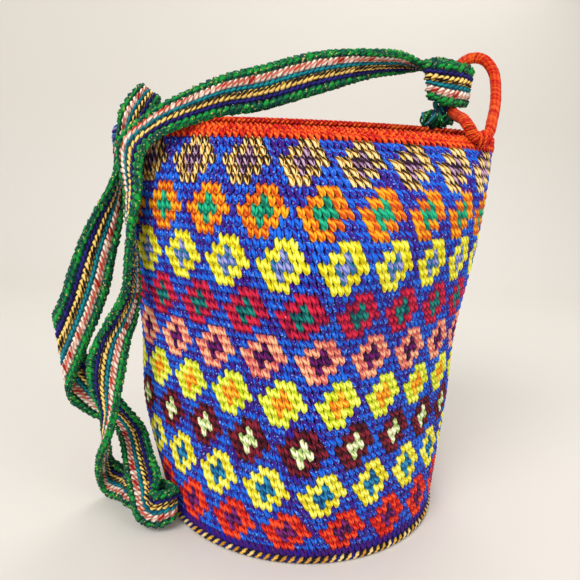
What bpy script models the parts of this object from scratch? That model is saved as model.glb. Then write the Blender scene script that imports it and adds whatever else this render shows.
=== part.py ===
"""A crocheted bucket bag: a patterned wall on a round base, a thick rim, two loops and a long band strap.

The bag stands on the floor at z = 0 with its front towards -Y. Rows of stitches are counted up from the
base, and a place round the wall is a turn: 0 at the front, growing towards +X, 1 for the whole way round.
"""

import bisect
import functools
import math

import bmesh
import bpy
from mathutils import Vector

# Counts of the crochet work
FLOWERS_AROUND = 18
BANDS = 9
ROWS_PER_BAND = 5
STITCHES_PER_FLOWER = 8
ROWS_BELOW_BANDS = 2

# Sizes in metres
WALL = 0.0035
BASE_THICKNESS = 0.0040
BASE_ROUNDING = 0.0030
SEAT_GAP = 0.0012
FIELD_THICKNESS = 0.0008
ROW_GROOVE = 0.0009
PART_GAP = 0.0003
RIM_THICKNESS = 0.0060
RIM_GAP = 0.0009
RIM_BULGE = 0.0012
EDGING_HEIGHT = 0.0048
EDGING_THICKNESS = 0.0028
BACK_RISE = 0.0150
RIGHT_RISE = 0.0177

# The wall's outline at five rows, from the floor to the top of the rim
LEVEL_ROWS = (0, 11.6, 23.8, 36, 48.8)
LEVEL_HEIGHTS = (0.0, 0.0683, 0.1375, 0.2069, 0.2800)
HALF_WIDTHS = (0.1045, 0.1189, 0.1183, 0.1211, 0.1271)
HALF_DEPTHS = (0.1045, 0.1159, 0.0998, 0.0998, 0.0520)
SHIFTS_RIGHT = (0.0, -0.0044, -0.0056, -0.0061, -0.0002)
SHIFTS_BACK = (0.0, -0.0055, -0.0148, -0.0341, -0.0080)
SQUARENESS = (2.0, 1.32, 1.39, 1.32, 2.12)

# The row where the wall meets the base, and the rows that a groove and the rim's roundings take
FOOT_ROW = 0.6
GROOVE_ROWS = 0.3
RIM_ROUNDING_ROWS = 0.4

# The columns of stitches lean as the work goes round
START_TURN = -0.0209
LEAN_PER_BAND = 0.1311

# How closely the wall's outline is followed, and the turn that its direction is read over
OUTLINE_STEPS = 240
TURN_STEP = 0.004

# The band strap: six stripes side by side, as pairs of edge points, the white edge and the navy edge
STRIPES = 6
STRAP_THICKNESS = 0.0042
STRAP_VALLEY = 0.0030
STRAP_STEPS = 1
STRAP_EDGES = (
    # where it wraps round the right loop
    ((0.075, -0.018, 0.307), (0.070, -0.018, 0.330)),
    ((0.086, -0.020, 0.303), (0.086, -0.020, 0.330)),
    ((0.096, -0.016, 0.303), (0.101, -0.016, 0.330)),
    ((0.106, -0.007, 0.305), (0.108, -0.007, 0.329)),
    ((0.100, 0.003, 0.309), (0.104, 0.003, 0.335)),
    ((0.086, 0.000, 0.317), (0.087, 0.009, 0.339)),
    ((0.073, -0.008, 0.329), (0.081, 0.020, 0.336)),
    ((0.054, -0.018, 0.334), (0.060, 0.004, 0.327)),
    ((0.034, -0.024, 0.333), (0.037, -0.008, 0.320)),
    # over the mouth to the left corner
    ((0.016, -0.028, 0.331), (0.016, -0.023, 0.311)),
    ((-0.009, -0.033, 0.326), (-0.008, -0.033, 0.301)),
    ((-0.041, -0.039, 0.315), (-0.040, -0.039, 0.289)),
    ((-0.065, -0.047, 0.306), (-0.067, -0.050, 0.282)),
    ((-0.090, -0.055, 0.292), (-0.090, -0.062, 0.272)),
    ((-0.109, -0.057, 0.280), (-0.103, -0.065, 0.265)),
    ((-0.127, -0.055, 0.265), (-0.110, -0.070, 0.257)),
    # the inner run down beside the bag
    ((-0.130, -0.049, 0.251), (-0.113, -0.070, 0.246)),
    ((-0.126, -0.052, 0.233), (-0.113, -0.075, 0.230)),
    ((-0.124, -0.052, 0.210), (-0.117, -0.077, 0.212)),
    ((-0.119, -0.056, 0.189), (-0.120, -0.077, 0.192)),
    ((-0.120, -0.048, 0.166), (-0.125, -0.068, 0.170)),
    ((-0.122, -0.046, 0.148), (-0.139, -0.059, 0.147)),
    ((-0.125, -0.054, 0.134), (-0.147, -0.057, 0.133)),
    ((-0.128, -0.056, 0.116), (-0.152, -0.056, 0.119)),
    ((-0.131, -0.057, 0.100), (-0.152, -0.055, 0.100)),
    ((-0.134, -0.060, 0.083), (-0.147, -0.048, 0.080)),
    ((-0.140, -0.060, 0.064), (-0.148, -0.038, 0.060)),
    # the small fold on the floor
    ((-0.148, -0.054, 0.047), (-0.146, -0.034, 0.047)),
    ((-0.155, -0.033, 0.018), (-0.149, -0.026, 0.040)),
    ((-0.152, -0.026, 0.003), (-0.146, -0.022, 0.029)),
    ((-0.137, -0.036, 0.003), (-0.133, -0.033, 0.028)),
    ((-0.131, -0.043, 0.003), (-0.130, -0.041, 0.029)),
    # the large fold on the floor
    ((-0.109, -0.052, 0.003), (-0.108, -0.050, 0.029)),
    ((-0.096, -0.062, 0.008), (-0.096, -0.060, 0.030)),
    ((-0.096, -0.070, 0.008), (-0.095, -0.067, 0.031)),
    ((-0.106, -0.072, 0.005), (-0.107, -0.070, 0.030)),
    ((-0.118, -0.070, 0.009), (-0.106, -0.066, 0.033)),
    # up from the large fold
    ((-0.125, -0.060, 0.018), (-0.106, -0.056, 0.036)),
    ((-0.132, -0.046, 0.034), (-0.113, -0.042, 0.044)),
    ((-0.139, -0.030, 0.050), (-0.122, -0.028, 0.059)),
    # the diagonal crease, laid back on itself
    ((-0.146, -0.024, 0.060), (-0.134, -0.024, 0.073)),
    ((-0.157, -0.026, 0.066), (-0.145, -0.026, 0.089)),
    ((-0.167, -0.032, 0.076), (-0.161, -0.034, 0.119)),
    ((-0.171, -0.039, 0.088), (-0.176, -0.042, 0.145)),
    # the outer run up
    ((-0.161, -0.046, 0.114), (-0.172, -0.048, 0.156)),
    ((-0.148, -0.048, 0.145), (-0.168, -0.049, 0.166)),
    ((-0.140, -0.048, 0.167), (-0.163, -0.049, 0.182)),
    ((-0.136, -0.046, 0.188), (-0.157, -0.049, 0.197)),
    ((-0.132, -0.040, 0.212), (-0.148, -0.050, 0.215)),
    ((-0.134, -0.032, 0.228), (-0.139, -0.049, 0.230)),
    # over the left loop
    ((-0.134, -0.032, 0.244), (-0.133, -0.046, 0.243)),
    ((-0.135, -0.034, 0.258), (-0.131, -0.042, 0.255)),
    ((-0.132, -0.041, 0.271), (-0.121, -0.043, 0.265)),
    ((-0.130, -0.042, 0.283), (-0.114, -0.043, 0.276)),
    ((-0.121, -0.031, 0.299), (-0.109, -0.031, 0.291)),
    ((-0.124, -0.020, 0.296), (-0.111, -0.020, 0.288)),
    ((-0.125, -0.016, 0.296), (-0.112, -0.016, 0.288)),
)

# The two loops of wrapped cord, each from its knot round and back
LOOP_RADIUS = 0.0040
LOOP_KNOT_RADIUS = 0.0048
LOOP_KNOT_REACH = 0.014
LOOP_SIDES = 8
LOOP_STEPS = 2
RIGHT_LOOP = (
    (0.1053, -0.0490, 0.2777),
    (0.1104, -0.0470, 0.2823),
    (0.1144, -0.0400, 0.2907),
    (0.1194, -0.0300, 0.3015),
    (0.1220, -0.0220, 0.3134),
    (0.1217, -0.0160, 0.3257),
    (0.1168, -0.0120, 0.3342),
    (0.1100, -0.0100, 0.3368),
    (0.1028, -0.0080, 0.3351),
    (0.0966, -0.0080, 0.3277),
    (0.0941, -0.0080, 0.3174),
    (0.0940, -0.0080, 0.3079),
    (0.0957, -0.0110, 0.3000),
    (0.0960, -0.0220, 0.2952),
    (0.0937, -0.0420, 0.2902),
    (0.0947, -0.0510, 0.2844),
    (0.0995, -0.0510, 0.2790),
)
LEFT_LOOP = (
    (-0.1245, -0.0040, 0.2885),
    (-0.1315, -0.0105, 0.2860),
    (-0.1335, -0.0200, 0.2800),
    (-0.1290, -0.0280, 0.2842),
    (-0.1170, -0.0288, 0.2838),
    (-0.1040, -0.0275, 0.2838),
    (-0.0970, -0.0190, 0.2865),
    (-0.0990, -0.0080, 0.2880),
    (-0.1100, -0.0010, 0.2890),
)

# The bundles of yarn that tie the strap's two ends: centres and radii
RIGHT_LASHING = ((0.0846, -0.0070, 0.2945), (0.0098, 0.0080, 0.0075))
LEFT_LASHING = ((-0.1372, -0.0200, 0.2677), (0.0050, 0.0060, 0.0090))

# The petals' colours of the nine bands, from the top band down
BAND_COLOURS = (
    (0.75, 0.42, 0.05),
    (0.90, 0.30, 0.02),
    (0.95, 0.88, 0.02),
    (0.45, 0.01, 0.06),
    (0.90, 0.35, 0.22),
    (0.80, 0.90, 0.05),
    (0.10, 0.00, 0.02),
    (0.95, 0.85, 0.03),
    (0.80, 0.03, 0.01),
)

# A flower's outline from its centre, in stitches and rows, and how far its centre stands out
FLOWER_JOIN = 0.35
PETAL_HALF_WIDTH = 1.5
PETAL_HEIGHT = 2.3
FLOWER_CENTRE_RISE = 0.0008

RIM_ROW = ROWS_BELOW_BANDS + BANDS * ROWS_PER_BAND
TOP_ROW = LEVEL_ROWS[-1]
COLUMNS = 2 * FLOWERS_AROUND


def between(values, row):
    """A value read at a row from the five levels, on a smooth curve through them."""
    last = len(LEVEL_ROWS) - 1
    i = max(k for k in range(last) if LEVEL_ROWS[k] <= row or k == 0)
    span = LEVEL_ROWS[i + 1] - LEVEL_ROWS[i]
    part = (row - LEVEL_ROWS[i]) / span

    def slope(k):
        low, high = max(k - 1, 0), min(k + 1, last)
        return (values[high] - values[low]) / (LEVEL_ROWS[high] - LEVEL_ROWS[low]) * span

    start, end = values[i], values[i + 1]
    rise = end - start
    return start + part * (
        slope(i) + part * (3 * rise - 2 * slope(i) - slope(i + 1) + part * (slope(i) + slope(i + 1) - 2 * rise))
    )


@functools.cache
def outline(row):
    """The wall's outline at a row: its points from the back round to the back, with the turn of each."""
    half_width, half_depth = between(HALF_WIDTHS, row), between(HALF_DEPTHS, row)
    power = 2 / between(SQUARENESS, row)
    points, turns = [], [0.0]
    for i in range(OUTLINE_STEPS + 1):
        angle = math.tau * (i / OUTLINE_STEPS - 0.5)
        across, along = math.sin(angle), -math.cos(angle)
        x = math.copysign(abs(across) ** power, across) * half_width
        y = math.copysign(abs(along) ** power, along) * half_depth
        points.append((x, y))
        if i:
            turns.append(turns[-1] + math.dist(points[-1], points[-2]))
    return points, [t / turns[-1] - 0.5 for t in turns], half_depth


def wall_point(row, turn):
    """The point of the wall's outer surface at a row and a turn."""
    points, turns, half_depth = outline(row)
    turn = (turn + 0.5) % 1 - 0.5
    i = max(1, bisect.bisect_left(turns, turn))
    part = (turn - turns[i - 1]) / (turns[i] - turns[i - 1])
    x = points[i - 1][0] + part * (points[i][0] - points[i - 1][0])
    y = points[i - 1][1] + part * (points[i][1] - points[i - 1][1])
    rise = BACK_RISE * (row / TOP_ROW) ** 2 * ((y + half_depth) / (2 * half_depth)) ** 2
    rise += RIGHT_RISE * x * row / TOP_ROW
    return Vector((
        x + between(SHIFTS_RIGHT, row),
        y + between(SHIFTS_BACK, row),
        between(LEVEL_HEIGHTS, row) + rise,
    ))


def wall_normal(row, turn):
    """The wall's outward direction, level enough that a ring moved along it stays a ring."""
    round_it = wall_point(row, turn + TURN_STEP) - wall_point(row, turn - TURN_STEP)
    up = wall_point(min(row + 1, TOP_ROW), turn) - wall_point(max(row - 1, 0), turn)
    return round_it.cross(up).normalized()


def column_turn(row, column):
    """The turn of a leaning column line at a row; there are two column lines to each flower."""
    bands_up = (row - RIM_ROW + ROWS_PER_BAND / 2) / ROWS_PER_BAND
    return START_TURN + column / COLUMNS + LEAN_PER_BAND * bands_up / FLOWERS_AROUND


def corner(row, column, out):
    """The point of the faceted wall on a column line, moved out from the wall."""
    turn = column_turn(row, column)
    return wall_point(row, turn) + wall_normal(row, turn) * out


def new_object(name, verts, faces, colour, roughness=0.9, smooth=False):
    """A closed mesh object with its own material; the faces are turned outwards."""
    mesh = bpy.data.meshes.new(name)
    mesh.from_pydata([tuple(v) for v in verts], [], faces)
    work = bmesh.new()
    work.from_mesh(mesh)
    bmesh.ops.recalc_face_normals(work, faces=work.faces)
    work.to_mesh(mesh)
    work.free()
    if smooth:
        mesh.shade_smooth()
    material = bpy.data.materials.new(name)
    material.use_nodes = True
    shader = material.node_tree.nodes["Principled BSDF"]
    shader.inputs["Base Color"].default_value = (*colour, 1)
    shader.inputs["Roughness"].default_value = roughness
    mesh.materials.append(material)
    obj = bpy.data.objects.new(name, mesh)
    bpy.context.collection.objects.link(obj)
    return obj


def ring_faces(rings, around, first=0, closed=False):
    """Quads between rings of vertices that follow one another."""
    faces = []
    for r in range(rings if closed else rings - 1):
        low, high = first + r * around, first + (r + 1) % rings * around
        for i in range(around):
            j = (i + 1) % around
            faces.append((low + i, low + j, high + j, high + i))
    return faces


def bag_body():
    """The wall and the base in one: outside up, over the top and down the inside."""
    rings = [[corner(0, c, -BASE_ROUNDING) for c in range(COLUMNS)]]
    rings.append([corner(FOOT_ROW, c, 0) for c in range(COLUMNS)])
    for band in range(BANDS):
        row = ROWS_BELOW_BANDS + band * ROWS_PER_BAND
        for up, out in ((-GROOVE_ROWS, 0), (0, -ROW_GROOVE), (GROOVE_ROWS, 0)):
            rings.append([corner(row + up, c, out) for c in range(COLUMNS)])
    for out in (0, -WALL):
        rings.append([corner(RIM_ROW, c, out) for c in range(COLUMNS)])
    for band in reversed(range(BANDS)):
        row = ROWS_BELOW_BANDS + band * ROWS_PER_BAND
        rings.append([corner(row, c, -WALL) for c in range(COLUMNS)])
    inside = [corner(FOOT_ROW, c, -WALL - BASE_ROUNDING) for c in range(COLUMNS)]
    for point in inside:
        point.z = BASE_THICKNESS
    rings.append(inside)
    for point in rings[0]:
        point.z = 0.0
    verts = [v for ring in rings for v in ring]
    faces = ring_faces(len(rings), COLUMNS)
    for ring, height in ((0, 0.0), (len(rings) - 1, BASE_THICKNESS)):
        centre = len(verts)
        verts.append(Vector((0, 0, height)))
        first = ring * COLUMNS
        faces += [(first + i, first + (i + 1) % COLUMNS, centre) for i in range(COLUMNS)]
    return new_object("bag_body", verts, faces, (0.05, 0.09, 0.55))


def band_of_section(name, section, colour):
    """A closed band round the bag from a section of (row, out, lift) corners."""
    rings = []
    for row, out, lift in section:
        ring = [corner(row, c, out) for c in range(COLUMNS)]
        for point in ring:
            point.z += lift
        rings.append(ring)
    verts = [v for ring in rings for v in ring]
    return new_object(name, verts, ring_faces(len(rings), COLUMNS, closed=True), colour)


def rim():
    """The thick red row on the wall's top edge, with a slight waist half way up."""
    out, inner = RIM_BULGE, RIM_BULGE - RIM_THICKNESS
    middle = (RIM_ROW + TOP_ROW) / 2
    section = [
        (RIM_ROW, out * 0.4, RIM_GAP),
        (RIM_ROW + RIM_ROUNDING_ROWS, out, RIM_GAP),
        (middle, out * 0.6, RIM_GAP / 2),
        (TOP_ROW - RIM_ROUNDING_ROWS, out, 0),
        (TOP_ROW, out * 0.2, 0),
        (TOP_ROW, inner + out * 0.8, 0),
        (TOP_ROW - RIM_ROUNDING_ROWS, inner, 0),
        (RIM_ROW + RIM_ROUNDING_ROWS, inner, RIM_GAP),
        (RIM_ROW, inner + out * 0.6, RIM_GAP),
    ]
    return band_of_section("rim", section, (0.75, 0.03, 0.01))


def base_edging():
    """The twisted gold and black row that stands proud round the base's edge."""
    near, far = 3 * PART_GAP, 3 * PART_GAP + EDGING_THICKNESS
    rings = []
    for out, height in ((near, 0.3), (near, 1.0), (far * 0.6, 1.0), (far, 0.7), (far, 0.3), (far * 0.6, 0.0)):
        ring = [corner(FOOT_ROW, c, out) for c in range(COLUMNS)]
        for point in ring:
            point.z = BASE_ROUNDING + 0.0006 + (height - 0.5) * EDGING_HEIGHT * 0.7
        rings.append(ring)
    verts = [v for ring in rings for v in ring]
    faces = ring_faces(len(rings), COLUMNS, closed=True)
    return new_object("base_edging", verts, faces, (0.45, 0.30, 0.06))


def flower_point(band, column, stitches, rows, out):
    """A point on the flat facets beside a flower's column line, from the flower's centre, moved out."""
    low = RIM_ROW - (band + 1) * ROWS_PER_BAND
    side = 1 if stitches >= 0 else -1
    up = 0.5 + rows / ROWS_PER_BAND
    left = corner(low, column, out).lerp(corner(low + ROWS_PER_BAND, column, out), up)
    column += side
    right = corner(low, column, out).lerp(corner(low + ROWS_PER_BAND, column, out), up)
    return left.lerp(right, abs(stitches) / (STITCHES_PER_FLOWER / 2))


def flower_band(band, colour):
    """One band's flowers: six-sided, side by side in a ring, each with a raised centre."""
    near, far = SEAT_GAP, SEAT_GAP + FIELD_THICKNESS
    half = STITCHES_PER_FLOWER / 2
    verts = []
    for flower in range(FLOWERS_AROUND):
        column = 2 * flower + band % 2
        for stitches, tall, centre in (
            (-half, FLOWER_JOIN, 0), (-PETAL_HALF_WIDTH, PETAL_HEIGHT, 0),
            (0, PETAL_HEIGHT, FLOWER_CENTRE_RISE), (PETAL_HALF_WIDTH, PETAL_HEIGHT, 0),
        ):
            for rows, out in ((-tall, near), (tall, near), (tall, far), (0, far + centre), (-tall, far)):
                verts.append(flower_point(band, column, stitches, rows, out))
    faces = ring_faces(len(verts) // 5, 5, closed=True)
    return new_object(f"flowers_{band + 1}", verts, faces, colour)


def smooth_path(points, steps, closed=False):
    """Points on a smooth curve through the given points, evenly many between each pair."""
    count = len(points)
    out = []
    for i in range(count if closed else count - 1):
        if closed:
            a, b, c, d = (points[(i + k) % count] for k in (-1, 0, 1, 2))
        else:
            a, b, c, d = (points[min(max(i + k, 0), count - 1)] for k in (-1, 0, 1, 2))
        for k in range(steps):
            t = k / steps
            out.append(0.5 * ((2 * b) + (c - a) * t + (2 * a - 5 * b + 4 * c - d) * t * t
                              + (3 * b - a - 3 * c + d) * t ** 3))
    if not closed:
        out.append(points[-1].copy())
    return out


def wrapped_loop(name, route, knot_radius):
    """A closed ring of wrapped cord, swelling to a knot at the route's first point."""
    path = smooth_path([Vector(p) for p in route], LOOP_STEPS, closed=True)
    count = len(path)
    centre = sum(path, Vector()) / count
    across = (path[0] - centre).cross(path[count // 4] - centre).normalized()
    verts = []
    for i, point in enumerate(path):
        along = (path[(i + 1) % count] - path[i - 1]).normalized()
        side = across.cross(along).normalized()
        near_knot = max(0.0, 1 - min((point - path[0]).length / LOOP_KNOT_REACH, 1.0))
        radius = LOOP_RADIUS + (knot_radius - LOOP_RADIUS) * near_knot
        for k in range(LOOP_SIDES):
            angle = math.tau * k / LOOP_SIDES
            verts.append(point + (side * math.cos(angle) + across * math.sin(angle)) * radius)
    faces = ring_faces(count, LOOP_SIDES, closed=True)
    return new_object(name, verts, faces, (0.75, 0.03, 0.01), smooth=True)


def strap_stations():
    """Pairs of edge points down the strap, smoothed: the white edge and the navy edge."""
    white = smooth_path([Vector(s[0]) for s in STRAP_EDGES], STRAP_STEPS)
    navy = smooth_path([Vector(s[1]) for s in STRAP_EDGES], STRAP_STEPS)
    return white, navy


def strap_section(white, navy, face):
    """One cross-section of the strap: six rounded stripes on each face."""
    half = []
    count = 2 * STRIPES
    for i in range(count + 1):
        thick = STRAP_THICKNESS / 2 if i % 2 else STRAP_VALLEY / 2
        if i in (0, count):
            thick = STRAP_VALLEY / 3
        half.append((i / count, thick))
    ring = [white.lerp(navy, part) + face * thick for part, thick in half]
    ring += [white.lerp(navy, part) - face * thick for part, thick in reversed(half)]
    return ring


def strap():
    """The band strap: cross-sections down its route, closed at its two ends."""
    white, navy = strap_stations()
    verts = []
    count = len(white)
    for i in range(count):
        low, high = max(i - 1, 0), min(i + 1, count - 1)
        along = (white[high] + navy[high]) - (white[low] + navy[low])
        face = along.cross(navy[i] - white[i]).normalized()
        verts += strap_section(white[i], navy[i], face)
    around = 4 * STRIPES + 2
    faces = ring_faces(count, around)
    half = around // 2
    for first in (0, (count - 1) * around):
        for i in range(half - 1):
            faces.append((first + i, first + i + 1, first + around - 2 - i, first + around - 1 - i))
    return new_object("strap", verts, faces, (0.02, 0.22, 0.12))


def lashing(name, centre, radii, colour):
    """A bundle of tied yarn as a rounded lump."""
    work = bmesh.new()
    bmesh.ops.create_uvsphere(work, u_segments=10, v_segments=7, radius=1)
    for vert in work.verts:
        vert.co = Vector(centre) + Vector(vert.co[i] * radii[i] for i in range(3))
    verts = [v.co.copy() for v in work.verts]
    faces = [tuple(v.index for v in f.verts) for f in work.faces]
    work.free()
    return new_object(name, verts, faces, colour, smooth=True)


def main():
    """Clear the scene and make every piece of the bag."""
    for obj in list(bpy.data.objects):
        bpy.data.objects.remove(obj)
    bag_body()
    rim()
    base_edging()
    for band, colour in enumerate(BAND_COLOURS):
        flower_band(band, colour)
    wrapped_loop("loop_right", RIGHT_LOOP, LOOP_KNOT_RADIUS)
    wrapped_loop("loop_left", LEFT_LOOP, LOOP_KNOT_RADIUS)
    strap()
    lashing("strap_lashing_right", *RIGHT_LASHING, (0.02, 0.10, 0.20))
    lashing("strap_lashing_left", *LEFT_LASHING, (0.10, 0.12, 0.40))


main()
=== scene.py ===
"""Dress the crocheted bucket bag: yarn stitches on its wall, rim, base, strap, loops and ties.

The bag stands at the origin with its front towards -Y. A place on the wall is a stitch number, counted
round the bag, and a row, counted up from the base. Run it as a script; nothing in it needs installing.
"""

import bisect
import math
import random
from functools import partial

import bmesh
import bpy
from bpy.props import FloatProperty, FloatVectorProperty, IntProperty, PointerProperty
from mathutils import Matrix, Vector


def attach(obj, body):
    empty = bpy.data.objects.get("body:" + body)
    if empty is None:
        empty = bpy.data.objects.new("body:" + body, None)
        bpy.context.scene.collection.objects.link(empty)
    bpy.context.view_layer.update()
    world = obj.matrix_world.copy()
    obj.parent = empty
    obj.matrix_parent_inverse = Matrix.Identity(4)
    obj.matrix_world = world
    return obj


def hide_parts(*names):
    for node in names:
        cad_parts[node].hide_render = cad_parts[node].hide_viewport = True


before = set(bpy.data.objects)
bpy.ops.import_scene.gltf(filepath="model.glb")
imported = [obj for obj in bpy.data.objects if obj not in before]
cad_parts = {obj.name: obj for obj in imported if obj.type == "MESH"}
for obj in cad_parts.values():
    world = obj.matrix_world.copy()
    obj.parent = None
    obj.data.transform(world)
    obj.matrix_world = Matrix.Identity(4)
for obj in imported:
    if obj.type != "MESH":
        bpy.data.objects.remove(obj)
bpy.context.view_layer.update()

bl_info = {
    "name": "Crocheted bucket bag",
    "version": (1, 0, 0),
    "blender": (4, 5, 0),
    "location": "View3D > Sidebar > Crochet",
    "description": "Builds the yarn surface of a crocheted bucket bag with flower bands and a striped strap",
    "category": "Object",
}

BODY = "root"
UP = Vector((0, 0, 1))
DOWN = Vector((0, 0, -1))

# Counts of the crochet work
FLOWERS_AROUND = 18
STITCHES_PER_FLOWER = 8
STITCHES_AROUND = FLOWERS_AROUND * STITCHES_PER_FLOWER
BANDS = 9
ROWS_PER_BAND = 5
ROWS_BELOW_BANDS = 2
RIM_ROW = ROWS_BELOW_BANDS + BANDS * ROWS_PER_BAND

# The wall's outline at five rows, in metres, as the model has it
LEVEL_ROWS = (0, 11.6, 23.8, 36, 48.8)
LEVEL_HEIGHTS = (0.0, 0.0683, 0.1375, 0.2069, 0.2800)
HALF_WIDTHS = (0.1045, 0.1189, 0.1183, 0.1211, 0.1271)
HALF_DEPTHS = (0.1045, 0.1159, 0.0998, 0.0998, 0.0520)
SHIFTS_RIGHT = (0.0, -0.0044, -0.0056, -0.0061, -0.0002)
SHIFTS_BACK = (0.0, -0.0055, -0.0148, -0.0341, -0.0080)
SQUARENESS = (2.0, 1.32, 1.39, 1.32, 2.12)
TOP_ROW = LEVEL_ROWS[-1]
BACK_RISE = 0.0150
RIGHT_RISE = 0.0177
START_TURN = -0.0209
LEAN_PER_BAND = 0.1311
WALL = 0.0035
BASE_THICKNESS = 0.0040
# The row where the wall turns into the base, and the even steps that an outline is measured in
FOOT_ROW = 0.6
OUTLINE_STEPS = 240
# How far the numbers of two stitches lie apart, so that each strand draws a shade of its own
STRAND_NUMBERS = 97.0
# The edging: the height of its middle, its reach past the wall's foot, and its yarn's radius and lean
EDGING_HEIGHT = 0.0030
EDGING_REACH = 0.0014
EDGING_RADIUS = 0.0015
EDGING_LEAN = 0.68

# The lining: how deep its face and its back lie under the wall's face, the height of its underside, the stitches
# from one column to the next, the row and depth of its underside's ring, and how far its floor's ring lies inside
LINING_DEPTH = 0.0012
LINING_BACK = WALL - 0.0004
LINING_FLOOR = 0.0014
LINING_STEP = 2
UNDERSIDE_RING = (0.2, -0.0060)
FLOOR_RING_INSET = 0.002

# The base's rounds: the radii between which they are worked, their height and their flatness
OUTER_ROUND = 0.0985
INNER_ROUND = 0.004
ROUND_HEIGHT = 0.0012
ROUND_FLATNESS = 0.55

# The yarn pattern: its inputs with their usual values, Hollow among them being how bright the painted shade in
# the hollows between strands stays, the fineness of its noises, its plies, how fast it shades, and how far the
# plies stand up
YARN_INPUTS = {
    "Middle": (0.5, 0.5, 0.5, 1), "Light": (0.8, 0.8, 0.8, 1), "Deep": (0.2, 0.2, 0.2, 1),
    "Fleck": (1, 1, 1, 1), "Fleck share": 0.0, "Broad change": 1.0, "Strand change": 1.0, "Ply change": 0.3,
    "Twist": 400.0, "Hollow": 0.45,
}
BROAD_NOISE = 45.0
FLECK_NOISE = 800.0
HAIR_NOISE = 2600.0
PLIES = 2.0
SHADE_GAIN = 1.4
PLY_DEPTH = 0.00022
# How the plies show in the top band's two-coloured yarn, and in the other flowers' yarn
TOP_PLIES = {"Ply_change": 1.3, "Twist": -130.0, "Hollow": 0.2}
FLOWER_PLIES = {"Ply_change": 0.85, "Twist": -220.0, "Hollow": 0.35}
# A strand's sides and its flatness, and the crown of a core, so low that the core gets painted shade nearly as
# dark as the hollows between strands
STRAND_SIDES = 6
STRAND_FLATNESS = 0.9
CORE_CROWN = 0.1

# The photograph's view: the camera's place, its aim, and the picture's centre, for a 580 pixel square
PICTURE = 580
CAMERA_PLACE = (-0.0403, -0.4141, 0.2352)
CAMERA_TURN = 0.0969
CAMERA_PITCH = 0.218
CAMERA_ROLL = 0.0516
FOCAL_PIXELS = 540
CENTRE_X = 308.12
CENTRE_Y = 315.24
SENSOR = 36.0

# The stage: each lamp's place, size and power in watts, where the lamps aim, the room's light, and the floor,
# which starts in front, curves up behind and ends above
LAMPS = (
    ("key", (-0.9, -1.3, 1.5), 1.0, 26),
    ("fill", (1.3, -1.0, 0.8), 1.2, 9),
    ("back", (0.3, 1.2, 1.3), 1.0, 8),
)
LAMP_AIM = Vector((0, 0, 0.15))
ROOM_COLOUR = (1.0, 0.99, 0.97, 1)
ROOM_LIGHT = 0.55
FLOOR_COLOUR = (0.90, 0.88, 0.85)
FLOOR_ROUGHNESS = 0.8
FLOOR_FRONT = -2.5
FLOOR_HALF_WIDTH = 3.0
CURVE_START = 0.9
CURVE_RADIUS = 0.5
CURVE_STEPS = 12
BACKDROP_TOP = 3.0


def colour(name, text, rgb):
    """A colour setting, written as it looks on a screen."""
    return FloatVectorProperty(
        name=name, description=text, default=rgb, size=3, min=0, max=1, subtype="COLOR_GAMMA"
    )


def length(name, text, metres):
    """A length setting in metres."""
    return FloatProperty(name=name, description=text, default=metres, min=0, unit="LENGTH", precision=5)


class BagSizes(bpy.types.PropertyGroup):
    """Sizes of the yarn work."""

    stitch_width: length("Stitch width", "Width that the wall's stitch is drawn for", 0.0044)
    stitch_height: length("Stitch height", "Height that the wall's stitch is drawn for", 0.0060)
    stitch_sink: length("Stitch sink", "How deep the stitches sit in the wall's face", 0.0006)
    flower_fullness: FloatProperty(
        name="Flower fullness", description="Size of a flower's stitches beside the ground's", default=1.07,
        min=0.5, max=1.5,
    )
    strap_thickness: length("Strap thickness", "Thickness of the strap's woven core", 0.0026)
    strap_stitch: length("Strap stitch", "Length of strap that one stitch takes", 0.0039)
    loop_radius: length("Loop radius", "Radius of a loop with its wrapping", 0.0040)
    loop_turn: length("Loop turn", "Length of loop that one turn of wrapping takes", 0.0013)
    twist: length("Twist", "Length of edging that one twist of its two yarns takes", 0.0027)
    seed: IntProperty(name="Seed", description="Seed of the small unevenness of the stitches", default=7)


class BagColours(bpy.types.PropertyGroup):
    """Colours of the yarns."""

    ground_mid: colour("Ground", "Royal blue of the ground yarn", (0.03, 0.11, 0.66))
    ground_light: colour("Ground, light", "Light blue stretches of the ground yarn", (0.09, 0.44, 0.92))
    ground_deep: colour("Ground, deep", "Violet stretches of the ground yarn", (0.28, 0.04, 0.50))
    # The rim's and loops' light colour is a painted orange highlight on some of their strands and plies, and
    # their deep colour is painted shade in their hollows and on their darker strands
    rim_mid: colour("Rim", "Red of the rim and the loops", (0.93, 0.14, 0.05))
    rim_light: colour("Rim, light", "Orange sheen of the red yarn", (1.0, 0.44, 0.12))
    rim_deep: colour("Rim, deep", "Red in the rim's hollows", (0.74, 0.04, 0.03))
    green_mid: colour("Strap green", "Emerald of the strap's edges", (0.02, 0.42, 0.24))
    green_light: colour("Strap green, light", "Bright green stretches of the edges", (0.05, 0.60, 0.22))
    green_deep: colour("Strap green, deep", "Dark teal stretches of the edges", (0.0, 0.27, 0.25))
    cream: colour("Cream", "Cream of the strap's light stripe", (0.98, 0.90, 0.82))
    salmon: colour("Salmon", "Red flecks of the light stripe", (0.87, 0.32, 0.22))
    teal: colour("Teal", "Teal stripe", (0.0, 0.46, 0.52))
    gold: colour("Gold", "Gold of the twisted yarns", (0.97, 0.74, 0.22))
    ink: colour("Ink", "Black of the twisted yarns", (0.09, 0.06, 0.06))
    navy: colour("Navy", "Dark blue stripe", (0.13, 0.10, 0.46))
    plum: colour("Plum", "Purple row under the lowest band", (0.25, 0.08, 0.42))
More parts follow.
